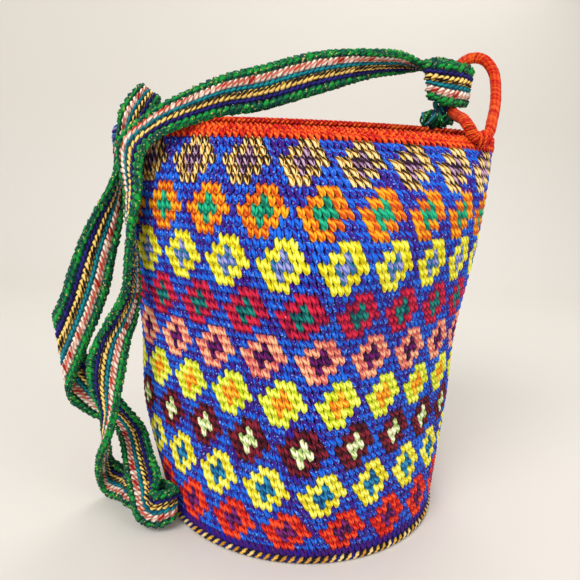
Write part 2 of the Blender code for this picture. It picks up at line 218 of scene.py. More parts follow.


# Each band from the top: the middle, light and deep yarn of its petals, then those of its centres. Every deep
# colour also tints the painted shade in the hollows; below the top band, whose black and cream are its yarn's
# own, the light and deep colours are partly the yarn's own changes of tone and partly painted highlight and
# painted shade
BAND_YARNS = (
    (((0.95, 0.66, 0.08), (1.0, 0.92, 0.64), (0.08, 0.03, 0.06)),
     ((0.30, 0.03, 0.28), (0.84, 0.68, 0.80), (0.12, 0.01, 0.12))),
    (((0.97, 0.53, 0.04), (1.0, 0.74, 0.12), (0.80, 0.26, 0.05)),
     ((0.02, 0.60, 0.44), (0.12, 0.76, 0.56), (0.0, 0.40, 0.34))),
    (((0.98, 0.96, 0.04), (1.0, 1.0, 0.42), (0.84, 0.74, 0.0)),
     ((0.34, 0.40, 0.76), (0.66, 0.66, 0.88), (0.04, 0.46, 0.60))),
    (((0.76, 0.04, 0.22), (0.92, 0.16, 0.30), (0.46, 0.0, 0.24)),
     ((0.0, 0.42, 0.40), (0.10, 0.60, 0.54), (0.0, 0.26, 0.34))),
    (((0.97, 0.60, 0.48), (1.0, 0.80, 0.60), (0.84, 0.34, 0.38)),
     ((0.30, 0.02, 0.32), (0.50, 0.10, 0.46), (0.16, 0.0, 0.22))),
    (((0.92, 0.97, 0.12), (1.0, 1.0, 0.48), (0.74, 0.78, 0.02)),
     ((1.0, 0.64, 0.05), (1.0, 0.84, 0.24), (0.92, 0.44, 0.02))),
    (((0.34, 0.03, 0.10), (0.56, 0.12, 0.20), (0.16, 0.0, 0.06)),
     ((0.90, 0.93, 0.60), (1.0, 1.0, 0.88), (0.58, 0.74, 0.40))),
    (((0.99, 0.95, 0.10), (1.0, 1.0, 0.50), (0.86, 0.76, 0.02)),
     ((0.04, 0.42, 0.64), (0.20, 0.60, 0.78), (0.0, 0.24, 0.48))),
    (((0.95, 0.12, 0.06), (1.0, 0.36, 0.16), (0.70, 0.02, 0.06)),
     ((0.36, 0.05, 0.34), (0.56, 0.16, 0.50), (0.18, 0.01, 0.24))),
)


def between(values, row):
    """A value read at a row from the five levels, on a smooth curve through them."""
    last = len(LEVEL_ROWS) - 1
    i = max(k for k in range(last) if LEVEL_ROWS[k] <= row or k == 0)
    span = LEVEL_ROWS[i + 1] - LEVEL_ROWS[i]
    part = (row - LEVEL_ROWS[i]) / span

    def slope(k):
        low, high = max(k - 1, 0), min(k + 1, last)
        return (values[high] - values[low]) / (LEVEL_ROWS[high] - LEVEL_ROWS[low]) * span

    start, end = values[i], values[i + 1]
    rise = end - start
    bend = slope(i) + slope(i + 1) - 2 * rise
    return start + part * (slope(i) + part * (3 * rise - 2 * slope(i) - slope(i + 1) + part * bend))


def outline(row):
    """The wall's outline at a row: its points from the back round to the back, with the turn of each."""
    half_width, half_depth = between(HALF_WIDTHS, row), between(HALF_DEPTHS, row)
    power = 2 / between(SQUARENESS, row)
    points, turns = [], [0.0]
    for i in range(OUTLINE_STEPS + 1):
        angle = math.tau * (i / OUTLINE_STEPS - 0.5)
        across, along = math.sin(angle), -math.cos(angle)
        x = math.copysign(abs(across) ** power, across) * half_width
        y = math.copysign(abs(along) ** power, along) * half_depth
        points.append((x, y))
        if i:
            turns.append(turns[-1] + math.dist(points[-1], points[-2]))
    return points, [t / turns[-1] - 0.5 for t in turns], half_depth


OUTLINES = {}


def wall_point(stitch, row):
    """The point of the wall's face at a stitch and a row; columns of stitches lean as they rise."""
    row = round(row, 3)
    if row not in OUTLINES:
        OUTLINES[row] = outline(row)
    points, turns, half_depth = OUTLINES[row]
    bands_up = (row - RIM_ROW + ROWS_PER_BAND / 2) / ROWS_PER_BAND
    turn = START_TURN + stitch / STITCHES_AROUND + LEAN_PER_BAND * bands_up / FLOWERS_AROUND
    turn = (turn + 0.5) % 1 - 0.5
    i = max(1, bisect.bisect_left(turns, turn))
    part = (turn - turns[i - 1]) / (turns[i] - turns[i - 1])
    x = points[i - 1][0] + part * (points[i][0] - points[i - 1][0])
    y = points[i - 1][1] + part * (points[i][1] - points[i - 1][1])
    rise = BACK_RISE * (row / TOP_ROW) ** 2 * ((y + half_depth) / (2 * half_depth)) ** 2
    rise += RIGHT_RISE * x * row / TOP_ROW
    return Vector((
        x + between(SHIFTS_RIGHT, row),
        y + between(SHIFTS_BACK, row),
        between(LEVEL_HEIGHTS, row) + rise,
    ))


def wall_frame(stitch, row):
    """A place on the wall with its outward direction, its step to the next stitch and to the next row."""
    low, high = max(row - 0.5, 0.0), min(row + 0.5, TOP_ROW)
    across = (wall_point(stitch + 1, row) - wall_point(stitch - 1, row)) / 2
    up = (wall_point(stitch, high) - wall_point(stitch, low)) / (high - low)
    normal = across.cross(up).normalized()
    return wall_point(stitch, row), normal, across, up


def flower_at(stitch, row):
    """The band that a row lies in, and what it has at a stitch: 0 ground, 1 petal, 2 flower's centre."""
    if row < ROWS_BELOW_BANDS or row >= RIM_ROW:
        return None, 0
    band = (RIM_ROW - 1 - row) // ROWS_PER_BAND
    from_middle = abs((row - ROWS_BELOW_BANDS) % ROWS_PER_BAND - 2)
    half = STITCHES_PER_FLOWER // 2
    beside = abs((stitch - half * (band % 2) + half) % STITCHES_PER_FLOWER - half)
    steps = from_middle + beside
    return band, 2 if steps <= 1 else 1 if steps <= 3 else 0


def linear(rgb):
    """A screen colour as the light values that shaders use."""
    return (*(c / 12.92 if c <= 0.04045 else ((c + 0.055) / 1.055) ** 2.4 for c in rgb), 1.0)


def settings():
    """The scene's sizes and colours."""
    return bpy.context.scene.bag_sizes, bpy.context.scene.bag_colours


def link(tree, source, target):
    """Join one node's output to another's input."""
    tree.links.new(source, target)


def node(tree, kind, feeds=None, **values):
    """A new node with some of its own settings; feeds gives its inputs values or other nodes' outputs."""
    made = tree.nodes.new(kind)
    for key, value in values.items():
        setattr(made, key, value)
    for key, value in (feeds or {}).items():
        if isinstance(value, bpy.types.NodeSocket):
            link(tree, value, made.inputs[key])
        else:
            made.inputs[key].default_value = value
    return made


def math_node(tree, operation, *values, clamp=False):
    """The result of a math node on outputs or plain numbers."""
    feeds = dict(enumerate(values))
    return node(tree, "ShaderNodeMath", feeds, operation=operation, use_clamp=clamp).outputs[0]


def mix_colours(tree, factor, first, second, blend="MIX"):
    """A mix of two colours, each an output or a plain colour."""
    feeds = {0: factor, 6: first, 7: second}
    made = node(tree, "ShaderNodeMix", feeds, data_type="RGBA", blend_type=blend, clamp_factor=True)
    return made.outputs[2]


def attribute(tree, label):
    """A value that the piece's mesh carries."""
    return node(tree, "ShaderNodeAttribute", attribute_name=label).outputs["Fac"]


def new_material(name, **values):
    """A material, its nodes and its shader with plain values, named with underlines for spaces."""
    material = bpy.data.materials.new(name)
    material.use_nodes = True
    shader = material.node_tree.nodes["Principled BSDF"]
    for label, value in values.items():
        shader.inputs[label.replace("_", " ")].default_value = value
    return material, material.node_tree, shader


def raise_surface(tree, shader, height, strength, distance):
    """Let a height stand up from a material's surface."""
    raised = node(tree, "ShaderNodeBump", {"Strength": strength, "Distance": distance, "Height": height})
    link(tree, raised.outputs["Normal"], shader.inputs["Normal"])


def yarn_group():
    """The shared yarn pattern: a shade for each strand, flecks, the twist of its plies, and painted shade in the
    hollows, where a strand's crown is low.
    """
    name = "Variegated yarn"
    if name in bpy.data.node_groups:
        return bpy.data.node_groups[name]
    tree = bpy.data.node_groups.new(name, "ShaderNodeTree")
    for label, value in YARN_INPUTS.items():
        kind = "NodeSocketColor" if isinstance(value, tuple) else "NodeSocketFloat"
        tree.interface.new_socket(label, in_out="INPUT", socket_type=kind).default_value = value
    for label, kind in (("Color", "Color"), ("Height", "Float"), ("Roughness", "Float")):
        tree.interface.new_socket(label, in_out="OUTPUT", socket_type="NodeSocket" + kind)
    inputs, outputs = node(tree, "NodeGroupInput").outputs, node(tree, "NodeGroupOutput").inputs
    place = node(tree, "ShaderNodeTexCoord").outputs["Object"]
    tint, leg, crown = (attribute(tree, label) for label in ("tint", "leg", "crown"))
    strand_map = node(tree, "ShaderNodeUVMap", uv_map="strand").outputs["UV"]
    along, around = node(tree, "ShaderNodeSeparateXYZ", {0: strand_map}).outputs[:2]
    maths = partial(math_node, tree)

    def noise(scale, detail):
        feeds = {"Vector": place, "Scale": scale, "Detail": detail}
        return node(tree, "ShaderNodeTexNoise", feeds).outputs["Fac"]

    def centred(value, gain):
        return maths("MULTIPLY", maths("SUBTRACT", value, 0.5), gain)

    number = maths("ADD", maths("MULTIPLY", tint, STRAND_NUMBERS), leg)
    own = node(tree, "ShaderNodeTexWhiteNoise", {"W": number}, noise_dimensions="1D").outputs["Value"]
    turns = maths("ADD", maths("MULTIPLY", along, inputs["Twist"]), maths("MULTIPLY", around, PLIES))
    ply = maths("MULTIPLY_ADD", maths("SINE", maths("MULTIPLY", turns, math.tau)), 0.5, 0.5)
    shade = maths("MULTIPLY", centred(noise(BROAD_NOISE, 1.0), 3.0), inputs["Broad change"])
    for value, amount in ((own, "Strand change"), (ply, "Ply change")):
        shade = maths("ADD", shade, maths("MULTIPLY", centred(value, 2.0), inputs[amount]))
    to_light = maths("MULTIPLY", shade, SHADE_GAIN, clamp=True)
    to_deep = maths("MULTIPLY", shade, -SHADE_GAIN, clamp=True)
    colours = mix_colours(tree, to_light, inputs["Middle"], inputs["Light"])
    colours = mix_colours(tree, to_deep, colours, inputs["Deep"])
    limit = maths("SUBTRACT", 0.88, maths("MULTIPLY", inputs["Fleck share"], 0.8))
    flecks = maths("MULTIPLY", maths("SUBTRACT", noise(FLECK_NOISE, 0.0), limit), 14.0, clamp=True)
    colours = mix_colours(tree, flecks, colours, inputs["Fleck"])
    # Painted shade: where a strand's crown is low, the colour turns to a dark mix, mostly of the deep colour,
    # scaled by Hollow
    feeds = {0: mix_colours(tree, 0.7, colours, inputs["Deep"]), "Scale": inputs["Hollow"]}
    dark = node(tree, "ShaderNodeVectorMath", feeds, operation="SCALE").outputs[0]
    hair = noise(HAIR_NOISE, 1.0)
    link(tree, mix_colours(tree, crown, dark, colours), outputs["Color"])
    link(tree, maths("ADD", ply, maths("MULTIPLY", hair, 0.5)), outputs["Height"])
    link(tree, maths("MULTIPLY_ADD", hair, 0.2, 0.62), outputs["Roughness"])
    return tree


def yarn_material(name, yarns, **values):
    """Matte yarn; with two yarns the kind attribute chooses: 1 for the first and 2 for the second."""
    material, tree, shader = new_material(
        name, Sheen_Weight=0.03, Sheen_Roughness=0.5, Specular_IOR_Level=0.20,
    )
    made = []
    for middle, light, deep in yarns:
        feeds = {"Middle": linear(middle), "Light": linear(light), "Deep": linear(deep)}
        for label, value in values.items():
            feeds[label.replace("_", " ")] = linear(value) if label == "Fleck" else value
        made.append(node(tree, "ShaderNodeGroup", feeds, node_tree=yarn_group()).outputs)
    colours = made[0]["Color"]
    if len(made) > 1:
        choice = math_node(tree, "GREATER_THAN", attribute(tree, "kind"), 1.5)
        colours = mix_colours(tree, choice, colours, made[1]["Color"])
    link(tree, colours, shader.inputs["Base Color"])
    link(tree, made[0]["Roughness"], shader.inputs["Roughness"])
    raise_surface(tree, shader, made[0]["Height"], 0.6, PLY_DEPTH)
    return material


def shades(colours, name):
    """A yarn's middle, light and deep colour from the settings."""
    return tuple(getattr(colours, f"{name}_{shade}") for shade in ("mid", "light", "deep"))


def plum_shades(colours):
    """The purple yarn of the lowest rows and the base."""
    return colours.plum, colours.ground_mid, colours.ground_deep


def yarn_layers(work):
    """The crown, which tells the yarn pattern where to paint shade, and the strand map that it reads, added to
    mesh work that lacks them.
    """
    crowns, maps = work.verts.layers.float, work.loops.layers.uv
    return crowns.get("crown") or crowns.new("crown"), maps.get("strand") or maps.new("strand")


def skin(work, rings, run):
    """Smooth faces between closed rings, mapped by the way run along the strand and the turn round it."""
    _, strand_map = yarn_layers(work)
    sides = len(rings[0])
    for number, face in enumerate(close_ring(work, rings)):
        i, k = divmod(number, sides)
        face.smooth = True
        for loop, (step, turn) in zip(face.loops, ((i, k), (i, k + 1), (i + 1, k + 1), (i + 1, k))):
            loop[strand_map].uv = (run[step], turn / sides)


def strand(work, number, path, radii, sides, flat):
    """Add one rounded strand along a path to a mesh; it keeps its number, its own map and its crown, which is low
    on its lowest points so that painted shade falls there.
    """
    legs = work.verts.layers.float
    leg = legs.get("leg") or legs.new("leg")
    crown, _ = yarn_layers(work)
    points = [Vector(p) for p in path]
    turns = [math.tau * (k + 0.5) / sides for k in range(sides)]
    rings, run, travelled = [], [], 0.0
    for i, point in enumerate(points):
        ahead = points[min(i + 1, len(points) - 1)] - points[max(i - 1, 0)]
        side = ahead.cross(UP).normalized()
        out = side.cross(ahead).normalized()
        if i:
            travelled += (point - points[i - 1]).length
        run.append(travelled)
        rims = [(side * math.cos(turn) + out * math.sin(turn) * flat) * radii[i] for turn in turns]
        rings.append([work.verts.new(point + rim) for rim in rims])
    verts = [vert for ring in rings for vert in ring]
    low, high = min(vert.co.z for vert in verts), max(vert.co.z for vert in verts)
    for vert in verts:
        # Painted shade: the crown rises from 0 at the strand's lowest points to 1 near its highest, and the yarn
        # pattern darkens it where it is low
        vert[crown] = min(1.0, max(0.0, (vert.co.z - low) / (high - low) * 1.25))
        vert[leg] = number / 2
    skin(work, rings, run)
    for ring in (rings[0], rings[-1]):
        work.faces.new(ring).smooth = True


def shape_from(name, work):
    """A hidden object from mesh work, with its faces pointing out."""
    bmesh.ops.recalc_face_normals(work, faces=work.faces)
    mesh = bpy.data.meshes.new(name)
    work.to_mesh(mesh)
    work.free()
    return bpy.data.objects.new(name, mesh)


def template(name, strands):
    """A hidden shape to be laid many times, made of strands (path, radii, sides, flatness)."""
    work = bmesh.new()
    for number, values in enumerate(strands):
        strand(work, number, *values)
    return shape_from(name, work)


# A stitch's two strands, from behind the stitches above down to the tip that they share: places across and up
# in stitches and rows, the height over the wall and the strand's radius in millimetres
STITCH_STRANDS = (
    ((-0.58, 0.64, -1.1, 0.74), (-0.38, 0.30, 0.45, 1.18),
     (-0.08, -0.22, 1.05, 1.26), (0.12, -0.66, 0.65, 0.68)),
    ((0.12, 0.62, -1.2, 0.64), (0.26, 0.22, 0.05, 0.98),
     (0.32, -0.26, 0.70, 1.04), (0.22, -0.68, 0.50, 0.66)),
)


def wall_stitch(sizes):
    """A crochet stitch: two strands that lean to the left as they rise and share a rounded tip below."""
    width, height = sizes.stitch_width, sizes.stitch_height
    strands = []
    for points in STITCH_STRANDS:
        path = [(across * width, up * height, out * 0.001) for across, up, out, _ in points]
        strands.append((path, [radius * 0.001 for *_, radius in points], STRAND_SIDES, STRAND_FLATNESS))
    return template("wall_stitch", strands)


def stitch_size(sizes, across, up, full=1.0):
    """How much a stitch is stretched to fill the steps across and up."""
    return across.length / sizes.stitch_width * full, up.length / sizes.stitch_height * full, full


def stitch_tree():
    """The tree that lays a stitch on every point of a guide, turned and sized by the guide's attributes."""
    name = "Lay stitches"
    if name in bpy.data.node_groups:
        return bpy.data.node_groups[name]
    tree = bpy.data.node_groups.new(name, "GeometryNodeTree")
    for label, side, kind in (
        ("Geometry", "INPUT", "Geometry"), ("Stitch", "INPUT", "Object"), ("Yarn", "INPUT", "Material"),
        ("Turn unevenness", "INPUT", "Float"), ("Size unevenness", "INPUT", "Float"),
        ("Seed", "INPUT", "Int"), ("Geometry", "OUTPUT", "Geometry"),
    ):
        tree.interface.new_socket(label, in_out=side, socket_type="NodeSocket" + kind)
    inputs, outputs = node(tree, "NodeGroupInput").outputs, node(tree, "NodeGroupOutput").inputs

    def guide_value(label):
        made = node(tree, "GeometryNodeInputNamedAttribute", {"Name": label}, data_type="FLOAT_VECTOR")
        return made.outputs["Attribute"]

    def vectors(operation, feeds):
        return node(tree, "ShaderNodeVectorMath", feeds, operation=operation).outputs[0]

    def uneven(seed_step, amount):
        seed = math_node(tree, "ADD", inputs["Seed"], float(seed_step))
        feeds = {0: (-1, -1, -1), 1: (1, 1, 1), "Seed": seed}
        drawn = node(tree, "FunctionNodeRandomValue", feeds, data_type="FLOAT_VECTOR").outputs[0]
        return vectors("SCALE", {0: drawn, "Scale": inputs[amount]})

    axes = {"Primary Axis": guide_value("normal"), "Secondary Axis": guide_value("across")}
    facing = node(tree, "FunctionNodeAxesToRotation", axes, primary_axis="Z", secondary_axis="X")
    wobble = node(tree, "FunctionNodeEulerToRotation", {0: uneven(0, "Turn unevenness")})
    feeds = {0: facing.outputs[0], 1: wobble.outputs[0]}
    turned = node(tree, "FunctionNodeRotateRotation", feeds, rotation_space="LOCAL")
    grown = vectors("ADD", {0: (1, 1, 1), 1: uneven(1, "Size unevenness")})
    sized = vectors("MULTIPLY", {0: guide_value("size"), 1: grown})
    shape = node(tree, "GeometryNodeObjectInfo", {"Object": inputs["Stitch"]})
    laid = node(tree, "GeometryNodeInstanceOnPoints", {
        "Points": inputs["Geometry"], "Instance": shape.outputs["Geometry"],
        "Rotation": turned.outputs[0], "Scale": sized,
    })
    real = node(tree, "GeometryNodeRealizeInstances", {0: laid.outputs[0]})
    dyed = node(tree, "GeometryNodeSetMaterial", {"Geometry": real.outputs[0], "Material": inputs["Yarn"]})
    link(tree, dyed.outputs[0], outputs[0])
    return tree


def lay(name, places, stitch, material, seed, turn=0.06, size=0.05):
    """Lay a stitch on places (point, normal, across, size, kind, tint) and keep the result as a mesh."""
    mesh = bpy.data.meshes.new(name)
    mesh.from_pydata([tuple(p[0]) for p in places], [], [])
    for label, column in (("normal", 1), ("across", 2), ("size", 3)):
        held = mesh.attributes.new(label, "FLOAT_VECTOR", "POINT")
        held.data.foreach_set("vector", [c for p in places for c in p[column]])
    for label, column in (("kind", 4), ("tint", 5)):
        held = mesh.attributes.new(label, "FLOAT", "POINT")
        held.data.foreach_set("value", [float(p[column]) for p in places])
    guide = bpy.data.objects.new(name + "_guide", mesh)
    bpy.context.collection.objects.link(guide)
    tree = stitch_tree()
    modifier = guide.modifiers.new("Lay stitches", "NODES")
    modifier.node_group = tree
    values = {
        "Stitch": stitch, "Yarn": material, "Turn unevenness": turn, "Size unevenness": size, "Seed": seed,
    }
    for item in tree.interface.items_tree:
        if item.item_type == "SOCKET" and item.in_out == "INPUT" and item.name in values:
            modifier[item.identifier] = values[item.name]
    done = bpy.data.meshes.new_from_object(guide.evaluated_get(bpy.context.evaluated_depsgraph_get()))
    guide.modifiers.remove(modifier)
    bpy.data.objects.remove(guide)
    if not len(done.polygons):
        raise RuntimeError(f"no stitches were laid on {name}")
    for label in ("normal", "across", "size"):
        if label in done.attributes:
            done.attributes.remove(done.attributes[label])
    piece = bpy.data.objects.new(name, done)
    bpy.context.collection.objects.link(piece)
    return piece


def piece_from(name, work, *materials):
    """A smooth piece of the bag from mesh work."""
    for face in work.faces:
        face.smooth = True
    piece = shape_from(name, work)
    for material in materials:
        piece.data.materials.append(material)
    bpy.context.collection.objects.link(piece)
    return piece


def dress(piece, node_name, instead=True):
    """Tell the frame what a piece rides on, and that it stands instead of its solid."""
    if instead:
        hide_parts(node_name)
    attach(piece, BODY)


def join(name, pieces):
    """Join pieces into one mesh that keeps their materials and attributes."""
    work = bpy.data.meshes.new(name)
    joined = bpy.data.objects.new(name, work)
    bpy.context.collection.objects.link(joined)
    with bpy.context.temp_override(active_object=joined, selected_editable_objects=[joined, *pieces]):
        bpy.ops.object.join()
    return joined


def wall_places(choose, sizes):
    """Places of the wall's stitches that choose(band, row, kind) keeps."""
    chance = random.Random(sizes.seed)
    places = []
    for row in range(RIM_ROW):
        for stitch in range(STITCHES_AROUND):
            tint = chance.random()
            band, kind = flower_at(stitch, row)
            if not choose(band, row, kind):
                continue
            point, normal, across, up = wall_frame(stitch, row + 0.5)
            size = stitch_size(sizes, across, up, sizes.flower_fullness if kind else 1.0)
            places.append((point - normal * sizes.stitch_sink, normal, across, size, kind, tint))
    return places


def core_ring(work, crown, points):
    """A ring of a core's vertices, with a low crown, so that the yarn pattern gives the core painted shade."""
    ring = [work.verts.new(point) for point in points]
    for vert in ring:
        vert[crown] = CORE_CROWN
    return ring


def level_out(direction):
    """A direction without its rise."""
    return Vector((direction.x, direction.y, 0)).normalized()


def close_ring(work, rings):
    """Faces between rings of vertices, each ring closed on itself."""
    faces = []
    for low, high in zip(rings, rings[1:]):
        for i in range(len(low)):
            j = (i + 1) % len(low)
            faces.append(work.faces.new((low[i], low[j], high[j], high[i])))
    return faces


class BAG_OT_lining(bpy.types.Operator):
    """Make the bag's own cloth under the stitches, with its round base and its inside, in colours darkened by
    painted shade
    """

    bl_idname = "bag.lining"
    bl_label = "Wall and base cloth"

    def execute(self, context):
        _, colours = settings()
        work = bmesh.new()
        chart = work.loops.layers.uv.new("chart")
        columns = STITCHES_AROUND // LINING_STEP
        rows = [FOOT_ROW, *range(1, RIM_ROW + 1)]
        levels = [(*UNDERSIDE_RING, LINING_FLOOR)]
        levels += [(row, -LINING_DEPTH, None) for row in rows]
        levels += [(row, -LINING_BACK, None) for row in reversed(rows)]
        levels += [(FOOT_ROW, -LINING_BACK - FLOOR_RING_INSET, BASE_THICKNESS)]
        rings = []
        for row, out, height in levels:
            ring = []
            for i in range(columns):
                point, normal, _, _ = wall_frame(i * LINING_STEP, row)
                point = point + normal * out
                if height is not None:
                    point.z = height
                ring.append(work.verts.new(point))
            rings.append(ring)
        for number, face in enumerate(close_ring(work, rings)):
            level, column = divmod(number, columns)
            first, last = column * LINING_STEP, (column + 1) * LINING_STEP
            places = ((first, level), (last, level), (last, level + 1), (first, level + 1))
            for loop, (stitch, k) in zip(face.loops, places):
                loop[chart].uv = (stitch / STITCHES_PER_FLOWER, levels[k][0])
        for end, height in ((rings[0], LINING_FLOOR), (rings[-1], BASE_THICKNESS)):
            centre = work.verts.new((0, 0, height))
            for i in range(columns):
                face = work.faces.new((end[i], end[(i + 1) % columns], centre))
                for loop in face.loops:
                    loop[chart].uv = (0.5, 0.0)
        dress(piece_from("wall_lining", work, lining_material(colours)), "bag_body")
        return {"FINISHED"}


def lining_material(colours):
    """The cloth between and behind the stitches: the flower chart in yarn colours, with rows of knots, darkened
    by painted shade that is deepest between the knots.
    """
    material, tree, shader = new_material("wall_cloth", Roughness=0.9, Specular_IOR_Level=0.25)
    maths = partial(math_node, tree)
    chart = node(tree, "ShaderNodeUVMap", uv_map="chart").outputs["UV"]
    flowers, rows = node(tree, "ShaderNodeSeparateXYZ", {0: chart}).outputs[:2]
    place = node(tree, "ShaderNodeTexCoord").outputs["Object"]

    def noise(scale):
        return node(tree, "ShaderNodeTexNoise", {"Vector": place, "Scale": scale}).outputs["Fac"]

    from_top = maths("DIVIDE", maths("SUBTRACT", RIM_ROW - 0.001, rows), float(ROWS_PER_BAND))
    band = maths("FLOOR", from_top)
    in_band = maths("SUBTRACT", maths("FRACT", from_top), 0.5)
    rows_off = maths("ROUND", maths("MULTIPLY", maths("ABSOLUTE", in_band), float(ROWS_PER_BAND)))
    odd = maths("MULTIPLY", maths("MODULO", band, 2.0), 0.5)
    along = maths("WRAP", maths("ADD", maths("SUBTRACT", flowers, odd), 0.5), 1.0, 0.0)
    beside = maths("ABSOLUTE", maths("SUBTRACT", along, 0.5))
    stitches_off = maths("ROUND", maths("MULTIPLY", beside, float(STITCHES_PER_FLOWER)))
    steps = maths("ADD", stitches_off, rows_off)
    in_bands = maths("MULTIPLY", maths("GREATER_THAN", rows, float(ROWS_BELOW_BANDS)),
                     maths("LESS_THAN", rows, float(RIM_ROW)))
    share = maths("DIVIDE", maths("ADD", band, 0.5), float(BANDS))
    shown = mix_colours(tree, noise(55), linear(colours.ground_mid), linear(colours.ground_deep))
    for part, reach in ((0, 3.5), (1, 1.5)):
        ramp = node(tree, "ShaderNodeValToRGB", {0: share})
        stops = ramp.color_ramp.elements
        ramp.color_ramp.interpolation = "CONSTANT"
        for k, yarns in enumerate(BAND_YARNS):
            stop = stops.new(k / BANDS) if k else stops[0]
            stop.color = linear(yarns[part][0])
        stops[-1].color = linear(BAND_YARNS[-1][part][0])
        mask = maths("MULTIPLY", maths("LESS_THAN", steps, reach), in_bands)
        shown = mix_colours(tree, mask, shown, ramp.outputs[0])
    wave_x = maths("SINE", maths("MULTIPLY", flowers, STITCHES_PER_FLOWER * math.tau))
    wave_y = maths("SINE", maths("MULTIPLY", rows, math.tau))
    knots = maths("ADD", maths("MULTIPLY", wave_x, 0.5), wave_y)
    # Painted shade: the cloth is darkened to between a quarter and three quarters of its colour, least on the
    # knots and most between them
    painted_shade = maths("MULTIPLY_ADD", knots, 0.16, 0.5)
    grey = node(tree, "ShaderNodeCombineColor", dict.fromkeys(range(3), painted_shade))
    shown = mix_colours(tree, 1.0, shown, grey.outputs[0], "MULTIPLY")
    link(tree, shown, shader.inputs["Base Color"])
    raise_surface(tree, shader, maths("ADD", knots, maths("MULTIPLY", noise(1200), 1.2)), 0.9, 0.0006)
    return material


class BAG_OT_ground(bpy.types.Operator):
    """Crochet the variegated ground between the flowers, in two pieces, and the two plain rows below them"""

    bl_idname = "bag.ground"
    bl_label = "Ground stitches"

    def execute(self, context):
        sizes, colours = settings()
        stitch = wall_stitch(sizes)
        ground = yarn_material("ground_yarn", [shades(colours, "ground")], Fleck=(0.50, 0.70, 1.0),
                               Fleck_share=0.23, Strand_change=1.2, Ply_change=1.1, Twist=-220.0, Hollow=0.35)
        lowest = yarn_material("plum_yarn", [plum_shades(colours)])
        half = ROWS_BELOW_BANDS + ROWS_PER_BAND * (BANDS // 2)
        for name, yarn, choose in (
            ("base_rows", lowest, lambda band, row, kind: band is None),
            ("ground_low", ground, lambda band, row, kind: band is not None and not kind and row < half),
            ("ground_high", ground, lambda band, row, kind: band is not None and not kind and row >= half),
        ):
            piece = lay(name, wall_places(choose, sizes), stitch, yarn, seed=sizes.seed)
            dress(piece, "bag_body", instead=False)
        return {"FINISHED"}


class BAG_OT_flowers(bpy.types.Operator):
    """Crochet the nine bands of flowers, petals and centres, each band from its own yarns"""

    bl_idname = "bag.flowers"
    bl_label = "Flower bands"

    def execute(self, context):
        sizes, _ = settings()
        stitch = wall_stitch(sizes)
        for band, yarns in enumerate(BAND_YARNS):
            plies = FLOWER_PLIES if band else TOP_PLIES
            material = yarn_material(f"flower_yarn_{band + 1}", yarns, Strand_change=0.9, Broad_change=0.3,
                                     **plies)
            places = wall_places(lambda at, row, kind: at == band and kind, sizes)
            piece = lay(f"flower_band_{band + 1}", places, stitch, material, seed=sizes.seed + band)
            dress(piece, f"flowers_{band + 1}")
        return {"FINISHED"}


class BAG_OT_base(bpy.types.Operator):
    """Crochet the rounds under the base and the gold and black twist round its edge"""

    bl_idname = "bag.base"
    bl_label = "Base rounds and edging"

    def execute(self, context):
        sizes, colours = settings()
        chance = random.Random(sizes.seed)
        places = []
        radius = OUTER_ROUND
        while radius > INNER_ROUND:
            count = max(5, round(math.tau * radius / sizes.stitch_width))
            size = (math.tau * radius / count / sizes.stitch_width, 1.0, ROUND_FLATNESS)
            for i in range(count):
                angle = math.tau * (i + 0.5) / count
                out = Vector((math.cos(angle), math.sin(angle), 0))
                point = out * radius + UP * ROUND_HEIGHT
                places.append((point, DOWN, DOWN.cross(out), size, 1, chance.random()))
            radius -= sizes.stitch_height
        yarn = yarn_material("base_yarn", [plum_shades(colours)])
        rounds = lay("base_rounds", places, wall_stitch(sizes), yarn, turn=0.03, seed=3)
        dress(rounds, "bag_body", instead=False)

        foot = [wall_point(i, FOOT_ROW) for i in range(STITCHES_AROUND + 1)]
        way = sum(math.dist(start, end) for start, end in zip(foot, foot[1:]))
        steps = 2 * round(way / sizes.twist / 2)
        places = []
        for i in range(steps):
            point, normal, across, _ = wall_frame(i * STITCHES_AROUND / steps, FOOT_ROW)
            out = level_out(normal)
            point = point + out * EDGING_REACH
            point.z = EDGING_HEIGHT
            places.append((point, out, level_out(across), (1, 1, 1), 1 + i % 2, chance.random()))
        gold = (colours.gold, (1.0, 0.90, 0.62), (0.78, 0.52, 0.12))
        black = (colours.ink, colours.navy, colours.ink)
        yarn = yarn_material("edging_yarn", (gold, black), Broad_change=0.3)
        pod = twist_pod(sizes.twist, EDGING_RADIUS, EDGING_LEAN)
        dress(lay("edging_twist", places, pod, yarn, seed=5), "base_edging")
        return {"FINISHED"}


def twist_pod(pitch, radius, lean):
    """One turn of a twisted yarn as a leaning pod, along X and facing Z."""
    reach = pitch * 0.95
    rise = reach * lean
    path = [(-reach, -rise * 1.1, -radius * 0.9), (-reach * 0.5, -rise * 0.55, radius * 0.25),
            (reach * 0.5, rise * 0.55, radius * 0.25), (reach, rise * 1.1, -radius * 0.9)]
    return template("twist_pod", [(path, [radius * 0.45, radius * 0.8, radius * 0.8, radius * 0.45], 5, 1.0)])


def grain(pitch, radius):
    """One stitch of the strap as a plump leaning grain, along X and facing Z."""
    width = STRIPE_WIDTH
    path = [(-0.60 * pitch, -0.50 * width, -radius), (-0.26 * pitch, -0.24 * width, 0.0004),
            (0.26 * pitch, 0.24 * width, 0.0004), (0.60 * pitch, 0.50 * width, -radius)]
    radii = [radius * 0.5, radius, radius, radius * 0.5]
    return template("grain", [(path, radii, STRAND_SIDES, STRAND_FLATNESS)])


